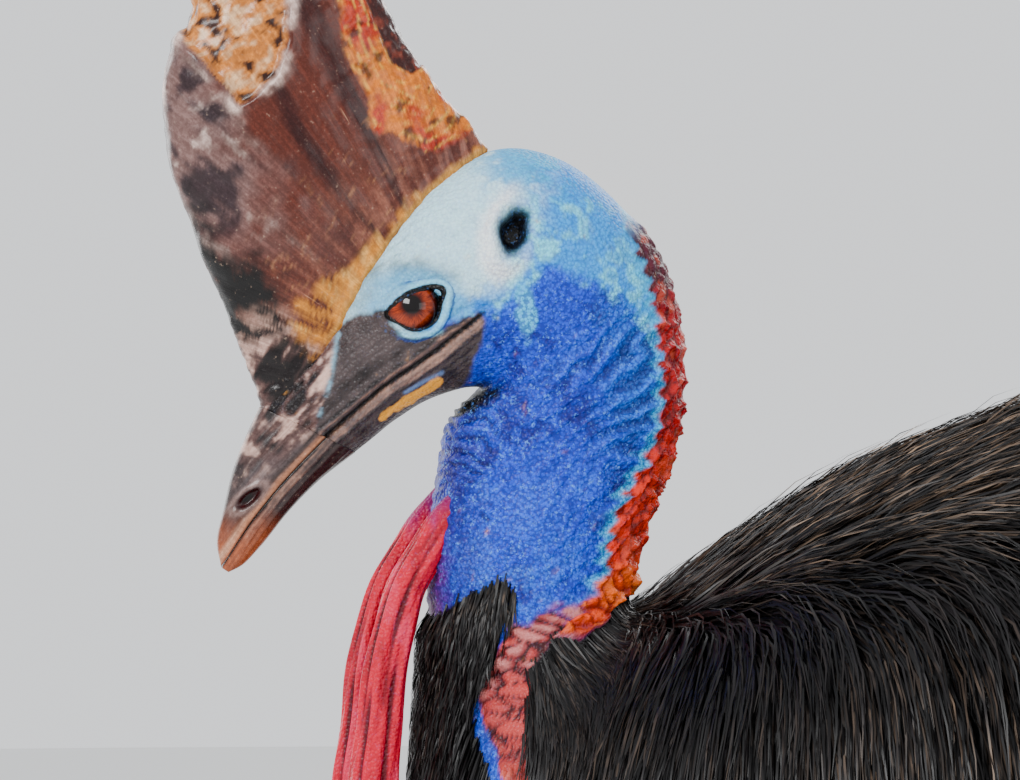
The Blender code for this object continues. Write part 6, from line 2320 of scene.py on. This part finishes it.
@dataclass
class Studio:
    """A pale floor, soft light from all round and the camera at the photograph's angle."""

    target: tuple = (0.0, -0.375, 1.0405)
    azimuth: float = math.radians(80)
    elevation: float = math.radians(1.0)
    distance: float = 3.0
    lens: float = 228.0
    floor_radius: float = 12.0

    def build(self) -> None:
        """Makes the floor, the lights, the world and the camera."""
        bpy.ops.mesh.primitive_circle_add(vertices=96, radius=self.floor_radius, fill_type="NGON")
        floor = bpy.context.object
        floor.name = "floor"
        g = Graph("pale_floor", Roughness=0.85, Base_Color=(0.82, 0.82, 0.81, 1.0))
        floor.data.materials.append(g.material)
        world = bpy.data.worlds.new("studio")
        world.use_nodes = True
        world.node_tree.nodes["Background"].inputs["Color"].default_value = (0.95, 0.97, 1.0, 1.0)
        world.node_tree.nodes["Background"].inputs["Strength"].default_value = 1.2
        bpy.context.scene.world = world
        self.light("key", (2.2, -2.6, 3.0), 1.2, 150.0)
        self.light("fill", (3.0, 1.6, 1.8), 2.2, 46.0)
        self.light("back", (-2.6, 1.8, 2.8), 2.0, 85.0)
        self.light("far_side", (-2.6, -2.2, 1.6), 2.2, 55.0)
        self.camera()

    def light(self, name: str, place: tuple, size: float, power: float) -> None:
        """A square light that faces the bird.

        Args:
            name: The lamp's name.
            place: Where it hangs.
            size: Its width in metres.
            power: Its power in watts.
        """
        data = bpy.data.lights.new(name, "AREA")
        data.size, data.energy = size, power
        lamp = bpy.data.objects.new(name, data)
        bpy.context.scene.collection.objects.link(lamp)
        lamp.location = place
        way = np.array((0.0, -0.1, 0.85)) - np.array(place)
        lamp.rotation_euler = Vector(way.tolist()).to_track_quat("-Z", "Y").to_euler()

    def camera(self) -> None:
        """The camera, level with the head."""
        data = bpy.data.cameras.new("camera")
        data.lens, data.sensor_width = self.lens, 36.0
        data.clip_start, data.clip_end = 0.05, 60.0
        camera = bpy.data.objects.new("camera", data)
        bpy.context.scene.collection.objects.link(camera)
        a, e = self.azimuth, self.elevation
        back = Vector((math.sin(a) * math.cos(e), -math.cos(a) * math.cos(e), math.sin(e)))
        camera.location = Vector(self.target) + back * self.distance
        camera.rotation_euler = (-back).to_track_quat("-Z", "Y").to_euler()
        bpy.context.scene.camera = camera


def main() -> None:
    """Builds the bird in order."""
    logging.basicConfig(level=logging.INFO)
    Studio().build()
    body, face = Body(), Face()
    skin = Skin(body, face)
    skin.build()
    Bill().build()
    Casque(face).build()
    legs = Legs()
    for side in (1, -1):
        Eye(skin).build(side)
        legs.build(side)
        Wing(body).build(side)
    Wattles().build()
    Coat(body, face).build(legs)


if __name__ == "__main__":
    main()
